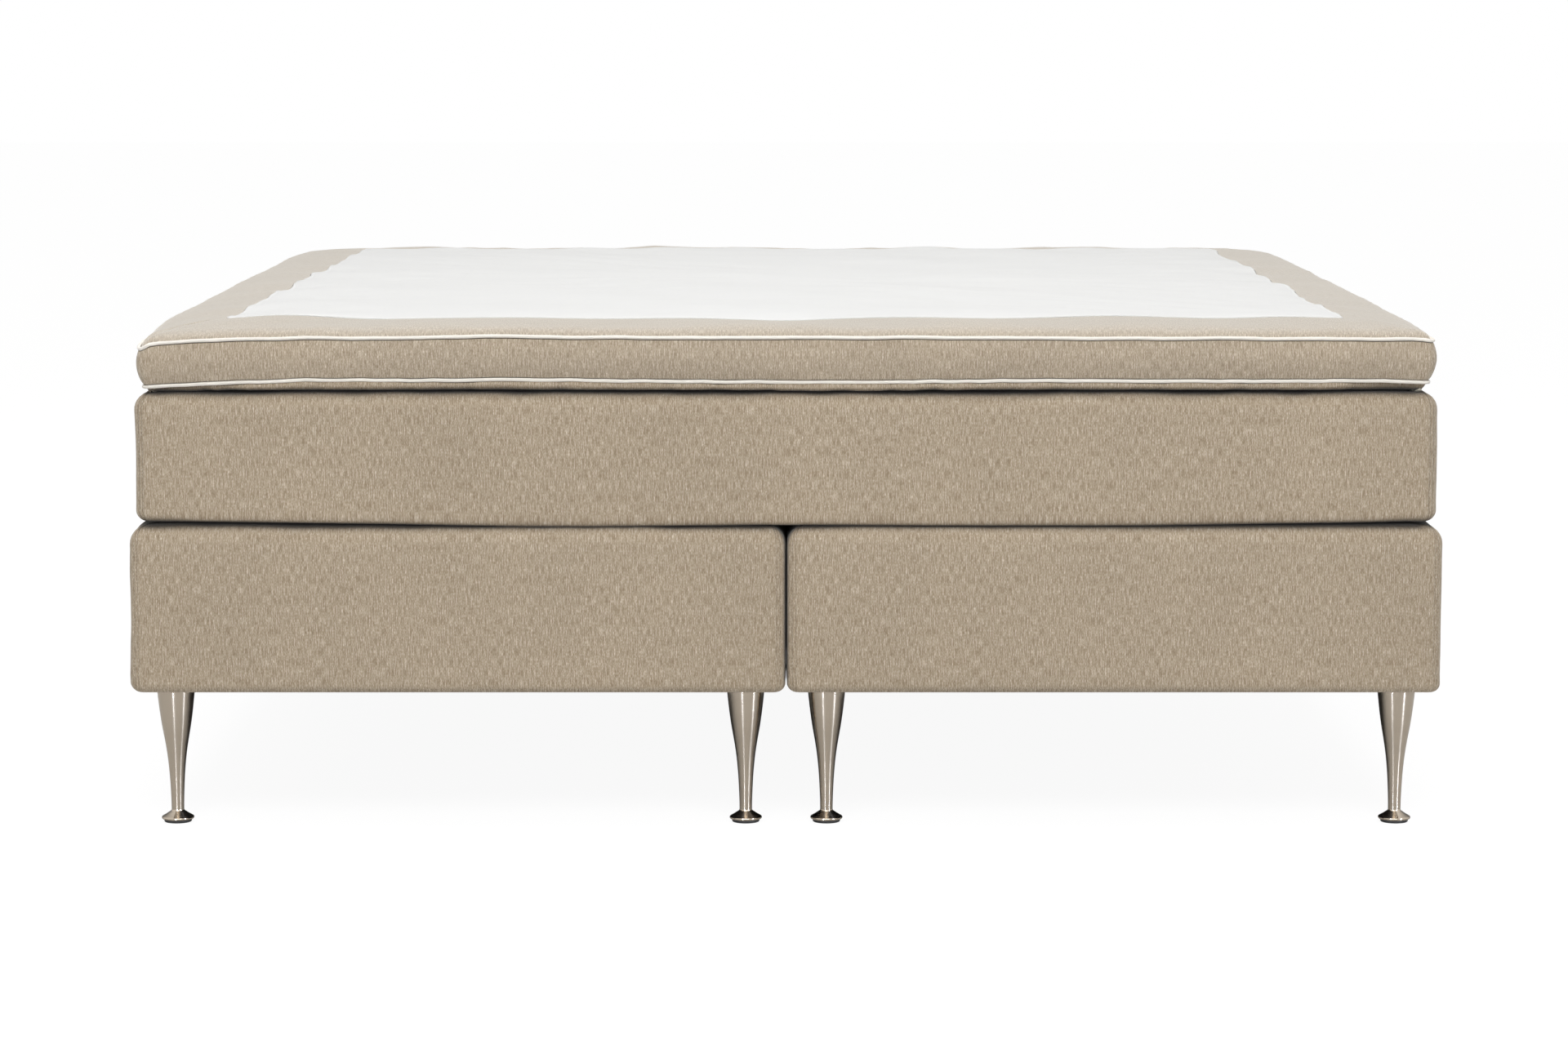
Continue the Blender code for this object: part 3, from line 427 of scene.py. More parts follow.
def ring_mesh(points, along, up, flat_rows=(), sides=None, cap_first=False, cap_last=False):
    """Points, faces and weave coordinates of a grid whose columns close on themselves.

    The weave of a flat row lies straight: as seen from above, or by its columns' sides along and across them.
    """
    rows, columns = points.shape[:2]
    faces, uvs = [], []
    for row in range(rows - 1):
        for column in range(columns):
            after = (column + 1) % columns
            quad = ((row, column), (row, after), (row + 1, after), (row + 1, column))
            faces.append(tuple(r * columns + c for r, c in quad))
            if row not in flat_rows:
                ends = (column, column + 1, column + 1, column)
                uvs += [(along[end], up[r]) for end, (r, _) in zip(ends, quad)]
            elif sides is None:
                uvs += [tuple(points[corner][:2]) for corner in quad]
            else:
                uvs += [(points[corner][sides[column] % 2], up[corner[0]]) for corner in quad]
    if cap_first:
        faces.append(tuple(reversed(range(columns))))
        uvs += [tuple(place) for place in points[0, ::-1, :2]]
    if cap_last:
        last = (rows - 1) * columns
        faces.append(tuple(range(last, last + columns)))
        uvs += [tuple(place) for place in points[-1, :, :2]]
    return points.reshape(-1, 3), faces, uvs


def sheet_mesh(places):
    """Faces and weave coordinates of an open grid, from the (u, v) of its points."""
    faces, uvs = [], []
    for i in range(places.shape[0] - 1):
        for j in range(places.shape[1] - 1):
            quad = ((i, j), (i + 1, j), (i + 1, j + 1), (i, j + 1))
            faces.append(tuple(a * places.shape[1] + b for a, b in quad))
            uvs += [tuple(places[corner]) for corner in quad]
    return faces, uvs


def add_rings(verts, faces, rings):
    """Add a small closed body of rings of points, with a flat face at each end."""
    first, count = len(verts), len(rings[0])
    last = first + count * (len(rings) - 1)
    for ring in rings:
        verts.extend(ring)
    for start in range(first, last, count):
        for k in range(count):
            a, b = start + k, start + (k + 1) % count
            faces.append((a, b, b + count, a + count))
    faces.append(tuple(first + k for k in reversed(range(count))))
    faces.append(tuple(last + k for k in range(count)))


def stitches(name, paths, body):
    """Runs of sewing thread, one small rounded stitch after another, along paths of points and normals."""
    verts, faces = [], []
    for points, normals in paths:
        run = run_length(points)

        def at(values, place):
            return np.array([np.interp(place, run, values[:, axis]) for axis in range(3)])

        for start in np.arange(STITCH_PITCH / 2, run[-1] - STITCH_LENGTH, STITCH_PITCH):
            first, last = at(points, start), at(points, start + STITCH_LENGTH)
            middle, half = (first + last) / 2, (last - first) / 2
            forward = half / np.linalg.norm(half)
            sideways = np.cross(forward, at(normals, start))
            sideways /= np.linalg.norm(sideways)
            lift = np.cross(sideways, forward)
            turns = np.arange(STITCH_SIDES) * 2 * math.pi / STITCH_SIDES
            arms = [sideways * math.cos(turn) + lift * math.sin(turn) for turn in turns]
            add_rings(verts, faces, [[middle + half * share + arm * STITCH_RADIUS * wide for arm in arms]
                                     for share, wide in STITCH_PROFILE])
    new_piece(name, np.array(verts), faces, None, THREAD, body, solid=0)


# Materials
class Nodes:
    """The node tree of a new material or world, with short ways to add and join nodes."""

    def __init__(self, name, kind="materials"):
        self.owner = getattr(bpy.data, kind).new(name)
        self.owner.use_nodes = True
        self.tree = self.owner.node_tree

    def put(self, socket, value):
        """Join a socket to another one, or set its number, vector or colour."""
        if isinstance(value, bpy.types.NodeSocket):
            self.tree.links.new(value, socket)
        elif socket.type == "RGBA":
            socket.default_value = (*value, 1)
        else:
            socket.default_value = value

    def add(self, kind, inputs=None, **settings):
        """A new node, with its settings and inputs."""
        node = self.tree.nodes.new(kind)
        for key, value in settings.items():
            setattr(node, key, value)
        for key, value in (inputs or {}).items():
            self.put(node.inputs[key], value)
        return node

    def place(self):
        """Metres in the object's own space."""
        return self.add("ShaderNodeTexCoord").outputs["Object"]

    def weave(self):
        """Metres along and across the cloth."""
        return self.add("ShaderNodeUVMap", uv_map="weave").outputs[0]

    def math(self, operation, first, second=0.0, third=0.0):
        return self.add("ShaderNodeMath", {0: first, 1: second, 2: third}, operation=operation).outputs[0]

    def total(self, *parts):
        """The sum of (value, weight) pairs."""
        result = 0.0
        for value, weight in reversed(parts):
            result = self.math("MULTIPLY_ADD", value, weight, result)
        return result

    def stretch(self, value, low, high, to_low=0.0, to_high=1.0):
        ends = {"Value": value, "From Min": low, "From Max": high, "To Min": to_low, "To Max": to_high}
        return self.add("ShaderNodeMapRange", ends).outputs[0]

    def scaled(self, vector, scale):
        return self.add("ShaderNodeMapping", {"Vector": vector, "Scale": scale}).outputs[0]

    def noise(self, vector, scale=1.0, detail=2.0, rough=0.5):
        inputs = {"Vector": vector, "Scale": scale, "Detail": detail, "Roughness": rough}
        return self.add("ShaderNodeTexNoise", inputs).outputs[0]

    def wave(self, vector, scale, distortion, detail=2.0, detail_scale=1.0, **settings):
        inputs = {"Vector": vector, "Scale": scale, "Distortion": distortion, "Detail": detail,
                  "Detail Scale": detail_scale}
        return self.add("ShaderNodeTexWave", inputs, **settings).outputs["Fac"]

    def cells(self, vector, scale, output="Distance", random=1.0):
        inputs = {"Vector": vector, "Scale": scale, "Randomness": random}
        return self.add("ShaderNodeTexVoronoi", inputs).outputs[output]

    def ramp(self, factor, *stops):
        """A colour by a number, from (place, colour) stops."""
        node = self.add("ShaderNodeValToRGB", {"Fac": factor})
        elements = node.color_ramp.elements
        while len(elements) < len(stops):
            elements.new(0.5)
        for element, (place, colour) in zip(elements, stops):
            element.position = place
            element.color = (*colour, 1)
        return node.outputs["Color"]

    def blend(self, factor, first, second, **settings):
        """Between two colours by a factor."""
        inputs = {0: factor, 6: first, 7: second}
        return self.add("ShaderNodeMix", inputs, data_type="RGBA", **settings).outputs[2]

    def finish(self, inputs, height, strength, distance):
        """Set the surface's shader, with a bump, and give the material."""
        shader = self.tree.nodes["Principled BSDF"]
        for key, value in inputs.items():
            self.put(shader.inputs[key], value)
        bump = self.add("ShaderNodeBump", {"Height": height, "Strength": strength, "Distance": distance})
        self.put(shader.inputs["Normal"], bump.outputs[0])
        return self.owner


def heather_cloth(name, sheen, painted_shade_range, pale=0.0, slub_scale=(700, 70, 1), painted_shade_power=1.0):
    """Beige upholstery cloth: short pale slubs along the warp over a browner ground, with painted shade in
    folds, seams and crevices, blended toward a near-black brown where ambient occlusion finds the surface
    closed in.

    The power deepens that painted shade on edges that face up, under the piece above. Pale mixes a painted
    lift of light into the colour, for copies of the cloth that stand where more light falls.
    """
    m = Nodes(name)
    uv = m.weave()
    slub = m.noise(m.scaled(uv, slub_scale), rough=0.55)
    yarn = m.noise(m.scaled(uv, (1600, 300, 1)), rough=0.6)
    cloud = m.noise(m.scaled(uv, (6, 4, 1)), detail=3.0, rough=0.55)
    spread = m.stretch(m.total((slub, 0.50), (yarn, 0.50)), 0.35, 0.65)
    colour = m.ramp(spread, (0.0, (0.282, 0.208, 0.134)), (0.36, (0.406, 0.318, 0.220)),
                    (0.56, (0.499, 0.407, 0.296)), (0.8, (0.613, 0.526, 0.411)), (1.0, (0.791, 0.717, 0.615)))
    colour = m.blend(1.0, colour, m.stretch(cloud, 0.25, 0.75, 0.95, 1.05), blend_type="MULTIPLY")
    # Painted light: a share of pale mixed into the colour lightens the copies of this cloth that stand where
    # more light falls on them
    colour = m.blend(pale, colour, (0.80, 0.78, 0.74))
    # Painted shade: the colour is blended toward near-black brown (0.016, 0.010, 0.005) where ambient
    # occlusion finds folds, seams and crevices between parts closed in, and more deeply on edges that face up
    open_sky = m.add("ShaderNodeAmbientOcclusion", {"Distance": 0.022}, samples=6).outputs["AO"]
    normal = m.add("ShaderNodeNewGeometry").outputs["Normal"]
    upward = m.add("ShaderNodeSeparateXYZ", {0: normal}).outputs[2]
    open_sky = m.math("POWER", open_sky, m.stretch(upward, 0.0, 1.0, 1.0, painted_shade_power))
    colour = m.blend(m.stretch(open_sky, *painted_shade_range), (0.016, 0.010, 0.005), colour)
    weft = m.wave(m.scaled(uv, (0, 460, 0)), 1.0, 1.5, detail=1.0, bands_direction="Y")
    inputs = {"Base Color": colour, "Roughness": m.stretch(spread, 0.0, 1.0, 0.92, 0.80),
              "Specular IOR Level": 0.1, "Sheen Weight": sheen, "Sheen Roughness": 0.60,
              "Sheen Tint": (1.0, 0.978, 0.932)}
    return m.finish(inputs, m.total((spread, 0.8), (weft, 0.2)), 0.45, 0.0005)


def stretch_knit(name):
    """White two-way stretch knit with small ribs."""
    m = Nodes(name)
    uv = m.weave()
    rib = m.wave(m.scaled(uv, (330, 0, 0)), 1.0, 0.8, detail=1.0, detail_scale=2.0, bands_direction="X")
    stitch = m.noise(m.scaled(uv, (900, 500, 1)))
    cloud = m.noise(m.scaled(uv, (3.0, 7.0, 1)), detail=4.0, rough=0.6)
    height = m.total((rib, 0.5), (stitch, 0.5))
    tone = m.total((cloud, 0.6), (height, 0.4))
    inputs = {"Base Color": m.ramp(tone, (0.2, (0.775, 0.776, 0.768)), (0.8, (0.830, 0.830, 0.820))),
              "Roughness": m.stretch(stitch, 0.3, 0.7, 0.75, 0.9), "Specular IOR Level": 0.2,
              "Sheen Weight": 0.15, "Sheen Roughness": 0.4}
    return m.finish(inputs, height, 0.35, 0.0004)


def plain_weave(name, low, high, pitch):
    """A plain woven cloth, with thread over thread at a pitch in metres."""
    m = Nodes(name)
    place = m.place()
    scale = 2 * math.pi / pitch / 20
    warp, weft = (m.wave(place, scale, 0.6, bands_direction=way) for way in ("X", "DIAGONAL"))
    grain = m.noise(place, 260.0, 4.0, 0.6)
    tone = m.total((m.math("MULTIPLY", warp, weft), 0.5), (grain, 0.5))
    inputs = {"Base Color": m.ramp(tone, (0.1, low), (0.75, high)),
              "Roughness": m.stretch(grain, 0.3, 0.7, 0.75, 0.92), "Specular IOR Level": 0.25,
              "Sheen Weight": 0.2, "Sheen Roughness": 0.4}
    return m.finish(inputs, tone, 0.3, pitch / 3)


def brushed_steel(name, tone):
    """Turned steel, brushed round its axis, with the highlights drawn out up and down the leg."""
    m = Nodes(name)
    place = m.place()
    ring = m.noise(m.scaled(place, (40, 40, 5200)), detail=3.0, rough=0.6)
    wide = m.noise(m.scaled(place, (9, 9, 420)))
    low, high = [c * 0.94 for c in tone], [c * 1.05 for c in tone]
    tangent = m.add("ShaderNodeTangent", direction_type="UV_MAP", uv_map="weave").outputs[0]
    inputs = {"Base Color": m.ramp(m.total((ring, 0.7), (wide, 0.3)), (0.25, low), (0.75, high)),
              "Metallic": 1.0, "Roughness": m.stretch(ring, 0.3, 0.7, 0.17, 0.23), "Anisotropic": 0.92,
              "Tangent": tangent}
    return m.finish(inputs, ring, 0.03, 0.0002)


def zinc(name):
    """Zinc-plated steel with a faint mottle."""
    m = Nodes(name)
    place = m.place()
    mottle = m.cells(place, 320.0, "Color")
    shade = m.add("ShaderNodeRGBToBW", {"Color": mottle}).outputs[0]
    wear = m.noise(place, 90.0, 5.0, 0.6)
    tone = m.total((shade, 0.4), (wear, 0.6))
    inputs = {"Base Color": m.ramp(tone, (0.2, (0.47, 0.49, 0.50)), (0.8, (0.68, 0.69, 0.70))),
              "Metallic": 1.0, "Roughness": m.stretch(wear, 0.3, 0.7, 0.28, 0.48)}
    return m.finish(inputs, wear, 0.08, 0.0003)


def timber(name, scale, steel_above=None):
    """Planed pine with its grain along the axis of the smallest scale, and steel inserts above a height."""
    m = Nodes(name)
    place = m.place()
    warped = m.scaled(place, scale)
    bend = m.noise(warped, 0.6, 3.0)
    rings = m.wave(warped, 0.55, 5.0, detail=3.0, detail_scale=1.2, wave_type="RINGS")
    fibre = m.noise(m.scaled(place, tuple(v * 22 for v in scale)), detail=3.0, rough=0.6)
    tone = m.total((rings, 0.55), (fibre, 0.3), (bend, 0.15))
    colour = m.ramp(tone, (0.1, (0.760, 0.560, 0.340)), (0.5, (0.700, 0.490, 0.280)),
                    (0.9, (0.520, 0.320, 0.160)))
    inputs = {"Base Color": colour, "Roughness": m.stretch(fibre, 0.3, 0.7, 0.55, 0.75)}
    if steel_above is not None:
        up = m.add("ShaderNodeSeparateXYZ", {0: place}).outputs["Z"]
        inputs["Metallic"] = m.math("GREATER_THAN", up, steel_above)
        inputs["Base Color"] = m.blend(inputs["Metallic"], colour, (0.60, 0.61, 0.62))
    return m.finish(inputs, tone, 0.2, 0.0005)


def foam(name):
    """Open-cell foam with fine pores."""
    m = Nodes(name)
    place = m.place()
    pores = m.cells(place, 700.0)
    cloud = m.noise(place, 9.0, 4.0, 0.6)
    colour = m.ramp(m.total((pores, 0.6), (cloud, 0.4)), (0.1, (0.70, 0.66, 0.52)), (0.7, (0.88, 0.85, 0.74)))
    inputs = {"Base Color": colour, "Roughness": m.stretch(cloud, 0.3, 0.7, 0.88, 0.98),
              "Specular IOR Level": 0.15}
    return m.finish(inputs, pores, 0.6, 0.0006)


def nonwoven(name, low, high, dots):
    """Spun-bonded cloth, with its small embossed dots."""
    m = Nodes(name)
    place = m.place()
    press = m.stretch(m.cells(place, dots, random=0.12), 0.12, 0.32)
    fibre = m.noise(m.scaled(place, (900, 900, 900)), detail=3.0, rough=0.7)
    cloud = m.noise(place, 14.0, 4.0, 0.6)
    tone = m.total((cloud, 0.5), (fibre, 0.2), (press, 0.3))
    inputs = {"Base Color": m.ramp(tone, (0.25, low), (0.75, high)),
              "Roughness": m.stretch(fibre, 0.3, 0.7, 0.7, 0.9), "Specular IOR Level": 0.25}
    return m.finish(inputs, press, 0.5, 0.0004)


def moulded(name, low, high):
    """Moulded plastic with a fine grain."""
    m = Nodes(name)
    place = m.place()
    grain = m.noise(place, 1400.0, 3.0, 0.6)
    scuff = m.noise(place, 120.0, 4.0, 0.6)
    inputs = {"Base Color": m.ramp(scuff, (0.3, low), (0.75, high)),
              "Roughness": m.stretch(scuff, 0.3, 0.7, 0.38, 0.6)}
    return m.finish(inputs, grain, 0.12, 0.0002)


def sewing_thread(name):
    """Twisted polyester thread, a shade darker than the cloth."""
    m = Nodes(name)
    twist = m.wave(m.place(), 420.0, 1.0, bands_direction="DIAGONAL")
    inputs = {"Base Color": m.ramp(twist, (0.0, (0.17, 0.125, 0.075)), (1.0, (0.36, 0.29, 0.20))),
              "Roughness": m.stretch(twist, 0.0, 1.0, 0.5, 0.75), "Sheen Weight": 0.2}
    return m.finish(inputs, twist, 0.3, 0.0002)


# Copies of one beige cloth: the plain copy keeps painted shade in crevices, the bases' copy has deeper
# painted shade on its upward edges under the mattress, and the band's and top border's copies have painted
# light mixed in as pale
BEIGE = heather_cloth("heather_cloth", 0.30, (0.30, 0.95))
PAINTED_SHADE_BASE_BEIGE = heather_cloth("heather_cloth_base", 0.30, (0.10, 0.65), painted_shade_power=5.0)
PAINTED_LIGHT_BAND_BEIGE = heather_cloth("heather_cloth_band", 0.45, (0.05, 0.60), pale=0.04)
PAINTED_LIGHT_TOP_BEIGE = heather_cloth("heather_cloth_top", 1.0, (0.05, 0.60), pale=0.16, slub_scale=(600, 100, 1))
WHITE = stretch_knit("stretch_knit")
CREAM = plain_weave("cord_cloth", (0.92, 0.87, 0.79), (0.99, 0.96, 0.90), 0.0009)
STEEL = brushed_steel("brushed_steel", (0.538, 0.464, 0.376))
ZINC = zinc("zinc")
FOAM = foam("foam")
POCKETS = nonwoven("pocket_cloth", (0.66, 0.69, 0.72), (0.86, 0.88, 0.90), 420.0)
DUST = nonwoven("dust_cloth", (0.022, 0.022, 0.024), (0.060, 0.060, 0.064), 460.0)
RUBBER = moulded("glide_plastic", (0.030, 0.030, 0.031), (0.070, 0.070, 0.072))
TEETH = moulded("zip_coil", (0.42, 0.35, 0.26), (0.60, 0.52, 0.41))
TAPE = plain_weave("zip_tape", (0.36, 0.29, 0.21), (0.58, 0.50, 0.39), 0.0012)
THREAD = sewing_thread("sewing_thread")


# Base boxes and mattress
def box_rows(height, shape, spine):
    """Section of an upholstered box, from its hem to the middle of its top, and the top's first row."""
    arc = np.linspace(0, QUARTER, 9)
    low, top = shape.bottom_radius, shape.top_radius
    rows = [(inset, 0.0) for inset in np.linspace(shape.hem, low, 3, endpoint=False)]
    rows += [(low * (1 - math.sin(a)), low * (1 - math.cos(a))) for a in arc]
    shoulder = height - shape.crown - top
    count = math.ceil((shoulder - low) / BOX_ROW_STEP)
    rows += [(0.0, z) for z in np.linspace(low, shoulder, count + 1)[1:-1]]
    rows += [(top * (1 - math.cos(a)), shoulder + top * math.sin(a)) for a in arc]
    first_top = len(rows) - 1
    for share in np.linspace(0, 1, 8)[1:]:
        sunk = shape.crown * (1 - math.sin(share * QUARTER))
        rows.append((top + (shape.crown_run - top) * share, height - sunk))
    count = max(2, round((spine - shape.crown_run) / BOX_TOP_STEP))
    rows += [(inset, height) for inset in np.linspace(shape.crown_run, spine, count)[1:]]
    return rows, first_top


def corner_seams(outline):
    """The corner and the angle of each stitched seam, two beside every upright corner."""
    found = []
    for turn in range(4):
        facing = QUARTER if turn < 2 else 3 * QUARTER
        toward = 1 if turn in (1, 3) else -1
        for inset in SEAM_INSETS:
            found.append((turn, facing + toward * math.asin(1 - inset / outline.radius)))
    return found


def seam_grooves(outline):
    """Depth of the stitched seams, by column."""
    depth = np.zeros(len(outline.angle))
    for turn, angle in corner_seams(outline):
        on_corner = (outline.first == turn) & (outline.share == 0)
        depth += np.where(on_corner, bell((outline.angle - angle) * outline.radius, 0, GROOVE_WIDTH), 0)
    return depth * GROOVE_DEPTH


def dress_box(name, outline, node, shape, seed, cloth, body, gentle=1.0, swell=0.0, shift=0.0):
    """An upholstered box with its stitched corner seams.

    Its waves are scaled by gentle, its sides come out by swell, and its points rise by shift.
    """
    low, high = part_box(node)
    rows, first_top = box_rows(high[2] - low[2], shape, outline.half[0] - SPINE_CLEAR)
    insets, heights = np.array(rows).T
    count = len(outline.angle)
    points = np.stack([np.column_stack([outline.at(inset), np.full(count, up)]) for inset, up in rows])
    points[..., 2] += low[2] + shift
    normals = normals_of(points)
    on_side = (rise(heights, *SIDE_FADE) * fall(insets, *TOP_FADE))[:, None]
    wave = (ripples(points, BOX_WAVES, seed) + BOX_PLUMP) * gentle
    points += normals * (np.maximum(wave * on_side, DEEPEST) + swell * on_side)[..., None]
    points -= normals * (seam_grooves(outline) * fall(insets, *SEAM_FADE)[:, None])[..., None]
    flat_rows = range(first_top + 3, len(rows) - 1)
    verts, faces, uvs = ring_mesh(points, outline.along, run_length(rows), flat_rows, cap_last=True)
    piece = new_piece(name, verts, faces, uvs, cloth, body, [node])
    sewn = slice(2, first_top + 3)
    columns = [outline.nearest(angle, outline.share == 0) for _, angle in corner_seams(outline)]
    seams = [(points[sewn, column] + normals[sewn, column] * THREAD_LIFT, normals[sewn, column])
             for column in columns]
    stitches(f"{name}_thread", seams, body)


def dress_base(side, seed):
    """One base's cover, calm where it faces the other base, and calmer on the right-hand flank."""
    node = f"base_cover_{side}"
    outline = Outline(node, BASE.corner_radius)
    toward_middle = -outline.centre[0] * outline.outward[:, 0]
    gentle = np.where(toward_middle > 0, INNER_SIDE_CALM, 1.0)
    swell = np.where(toward_middle > 0, BASE_SWELL * outline.clear(*SWELL_CLEAR), 0)
    if side == "right":
        outer = smooth(-toward_middle / RIGHT_SIDE_SHARE)
        gentle = gentle * (1 - (1 - RIGHT_SIDE_CALM) * outer)
        swell = swell - RIGHT_SIDE_TUCK * outer
    dress_box(f"base_upholstery_{side}", outline, node, BASE, seed, PAINTED_SHADE_BASE_BEIGE, "base", gentle, swell)


def base_edge(inset):
    """How far the top of a base is below its middle, as a negative height, at an inset from its outside."""
    radius = BASE.top_radius
    if inset < radius:
        return -(BASE.crown + radius - math.sqrt(max(0, radius**2 - (radius - inset) ** 2)))
    share = (inset - radius) / (BASE.crown_run - radius)
    return -BASE.crown * (1 - math.sin(min(1, share) * QUARTER))


def dress_mattress():
    """The mattress cover, whose underside hangs into the rounded edges of the bases."""
    outline = Outline("mattress_cover", MATTRESS.corner_radius)
    low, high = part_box("mattress_cover")
    rows, first_top = box_rows(high[2] - low[2], MATTRESS, outline.half[0] - SPINE_CLEAR)
    foot = outline.sides == FOOT
    droop = MATTRESS_SAG + ripples(outline.ring3, DROOP_WAVES, 31)
    measured = table_curve(MATTRESS_DROOP, outline.ring[:, 0])
    droop = np.where(foot, measured, droop) * outline.clear(*DROOP_CLEAR)
    front = foot * outline.clear(*SQUARING_CLEAR)
    step = -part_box("base_cover_left")[0][1] - outline.half[1]
    shift = np.zeros((len(rows), len(outline.angle)))
    for index, (inset, up) in enumerate(rows[:first_top]):
        share = fall(up, *DROOP_UP_FADE) * fall(inset, *DROOP_IN_FADE)
        lowest = min(0, base_edge(inset + step) + MATTRESS_CLEAR - up)
        squared = front * MATTRESS_SQUARING * math.sin(math.pi * min(1, up / MATTRESS.bottom_radius))
        shift[index] = np.maximum(-droop * share - squared, lowest)
    dress_box("mattress_ticking", outline, "mattress_cover", MATTRESS, 41, BEIGE, "mattress", shift=shift)


def flat_cloth(name, node, body, material, raised, wave, seed, thick):
    """A sheet of cloth stretched over the whole of an underside."""
    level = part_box(node)[1][2] - raised
    (middle_x, middle_y), half = plan(node)
    size = [float(2 * side) for side in half]
    xs, ys = (np.linspace(-side / 2, side / 2, max(2, round(side / 0.03)) + 1) for side in size)
    grid_x, grid_y = np.meshgrid(xs + middle_x, ys + middle_y, indexing="ij")
    points = np.stack([grid_x, grid_y, np.full(grid_x.shape, level)], axis=-1)
    from_edge = np.minimum.outer(half[0] - np.abs(xs), half[1] - np.abs(ys))
    points[..., 2] += wave * ripple(points, 0.12, seed) * rise(from_edge, 0, 0.06)
    faces, uvs = sheet_mesh(points[..., :2])
    piece = new_piece(name, points.reshape(-1, 3), faces, uvs, material, body, [node], solid=thick)


# Topper
class Topper:
    """The topper's outline with the waves of its cords and of the centre panel's seam, by column."""

    def __init__(self):
        outline = Outline("topper_band", TOPPER_CORNER_RADIUS)
        self.outline = outline
        self.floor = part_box("topper_underside")[0][2]
        self.spine = outline.half[0] - SPINE_CLEAR
        self.foot = outline.sides == FOOT
        self.long_side = outline.sides % 2 == 1
        self.near_corner = bell(outline.corner_distance, 0, CORNER_DIP_RUN)
        fade = outline.clear(*SHOULDER_CLEAR)
        flank = np.where(outline.ring[:, 1] < 0, fade, 1.0)
        self.flank = np.where(self.long_side, flank, np.where(self.foot, 0.0, 1 - fade))
        self.side_drop = SIDE_CORD_DROP * self.long_side * outline.clear(*CORD_DROP_CLEAR)
        self.low_drop = self.cord_drop(LOW_CORD_DROOP, LOW_CORD_WAVES, 51, 0.045, 55)
        self.high_drop = self.cord_drop(HIGH_CORD_DROOP, HIGH_CORD_WAVES, 53, 0.040, 56) + self.side_drop
        clear = outline.clear(*SEAM_CLEAR)
        self.seam_wave = ripples(outline.ring3, SEAM_WAVES, 81) * np.where(self.long_side, 1.0, 0.3) * clear
        lift = np.where(self.foot, -table_curve(PANEL_SEAM_DROOP, outline.ring[:, 0]),
                        ripples(outline.ring3, SEAM_LIFT_WAVES, 83))
        self.seam_lift = lift * clear

    def cord_drop(self, droop, waves, seed, quiver_length, quiver_seed):
        """How far a cord hangs: as measured at the foot end, by random waves elsewhere, with a quiver."""
        outline = self.outline
        measured = table_curve(droop, outline.ring[:, 0])
        drop = np.where(self.foot, measured, ripples(outline.ring3, waves, seed))
        quiver = CORD_QUIVER * ripple(outline.ring3, quiver_length, quiver_seed)
        return (drop + quiver) * outline.clear(*CORD_WAVES_CLEAR)

    def grid(self, rows):
        """Points of rows given as (inset, height, share of sag, level from low cord to high, share of waves).

        An inset or a height may be one number for all columns or one for each.
        """
        return np.stack([self.row(*row) for row in rows])

    def row(self, inset, height, sag, level, waves):
        """The points of one such row."""
        outline = self.outline
        middle = float(np.mean(inset))
        place = outline.at(middle) - outline.outward * (np.asarray(inset) - middle)[..., None]
        from_corner = np.max(outline.half - np.abs(place), axis=1)
        left = place[:, 0] <= 0
        corner_sag = np.where(place[:, 1] < 0, np.where(left, *FRONT_SAGS), np.where(left, *BACK_SAGS))
        drop = corner_sag * sag * np.clip(1 - from_corner / SAG_RUN, 0, 1) ** 2
        drop = drop + waves * (self.low_drop * (1 - level) + self.high_drop * level)
        reach = math.exp(-max(0, middle - HIGH_CORD_INSET) / CORNER_DIP_REACH)
        drop = drop + np.where(left, *CORNER_DIPS) * self.near_corner * level**3 * reach
        pinch = CORNER_PINCH * self.near_corner * reach * (0.35 + 1.65 * level)
        place = place + outline.outward * pinch[:, None]
        for end, lean in SEAM_LEANS.items():
            inward = outline.half[0] - end * place[:, 0]
            leaning = smooth(inward / BORDER_WIDTH) * fall(inward, BORDER_WIDTH, LEAN_RUN)
            place[:, 0] += leaning * np.interp(place[:, 1], (-outline.half[1], outline.half[1]), lean)
        return np.column_stack([place, self.floor + height - drop])

    def folds(self, pitch, seed, clear):
        """Puckers of the cloth round the edge, by column."""
        return puckers(self.outline.along[:-1], pitch, seed) * self.outline.clear(*clear)

    def dress(self, name, points, material, slot, node, **weave):
        """One sewn panel, with its weave measured along its mean section."""
        steps = np.linalg.norm(np.diff(points, axis=0), axis=2).mean(axis=1)
        up = np.concatenate([[0], np.cumsum(steps)])
        verts, faces, uvs = ring_mesh(points, self.outline.along, up, **weave)
        piece = new_piece(name, verts, faces, uvs, material, "topper", [node])


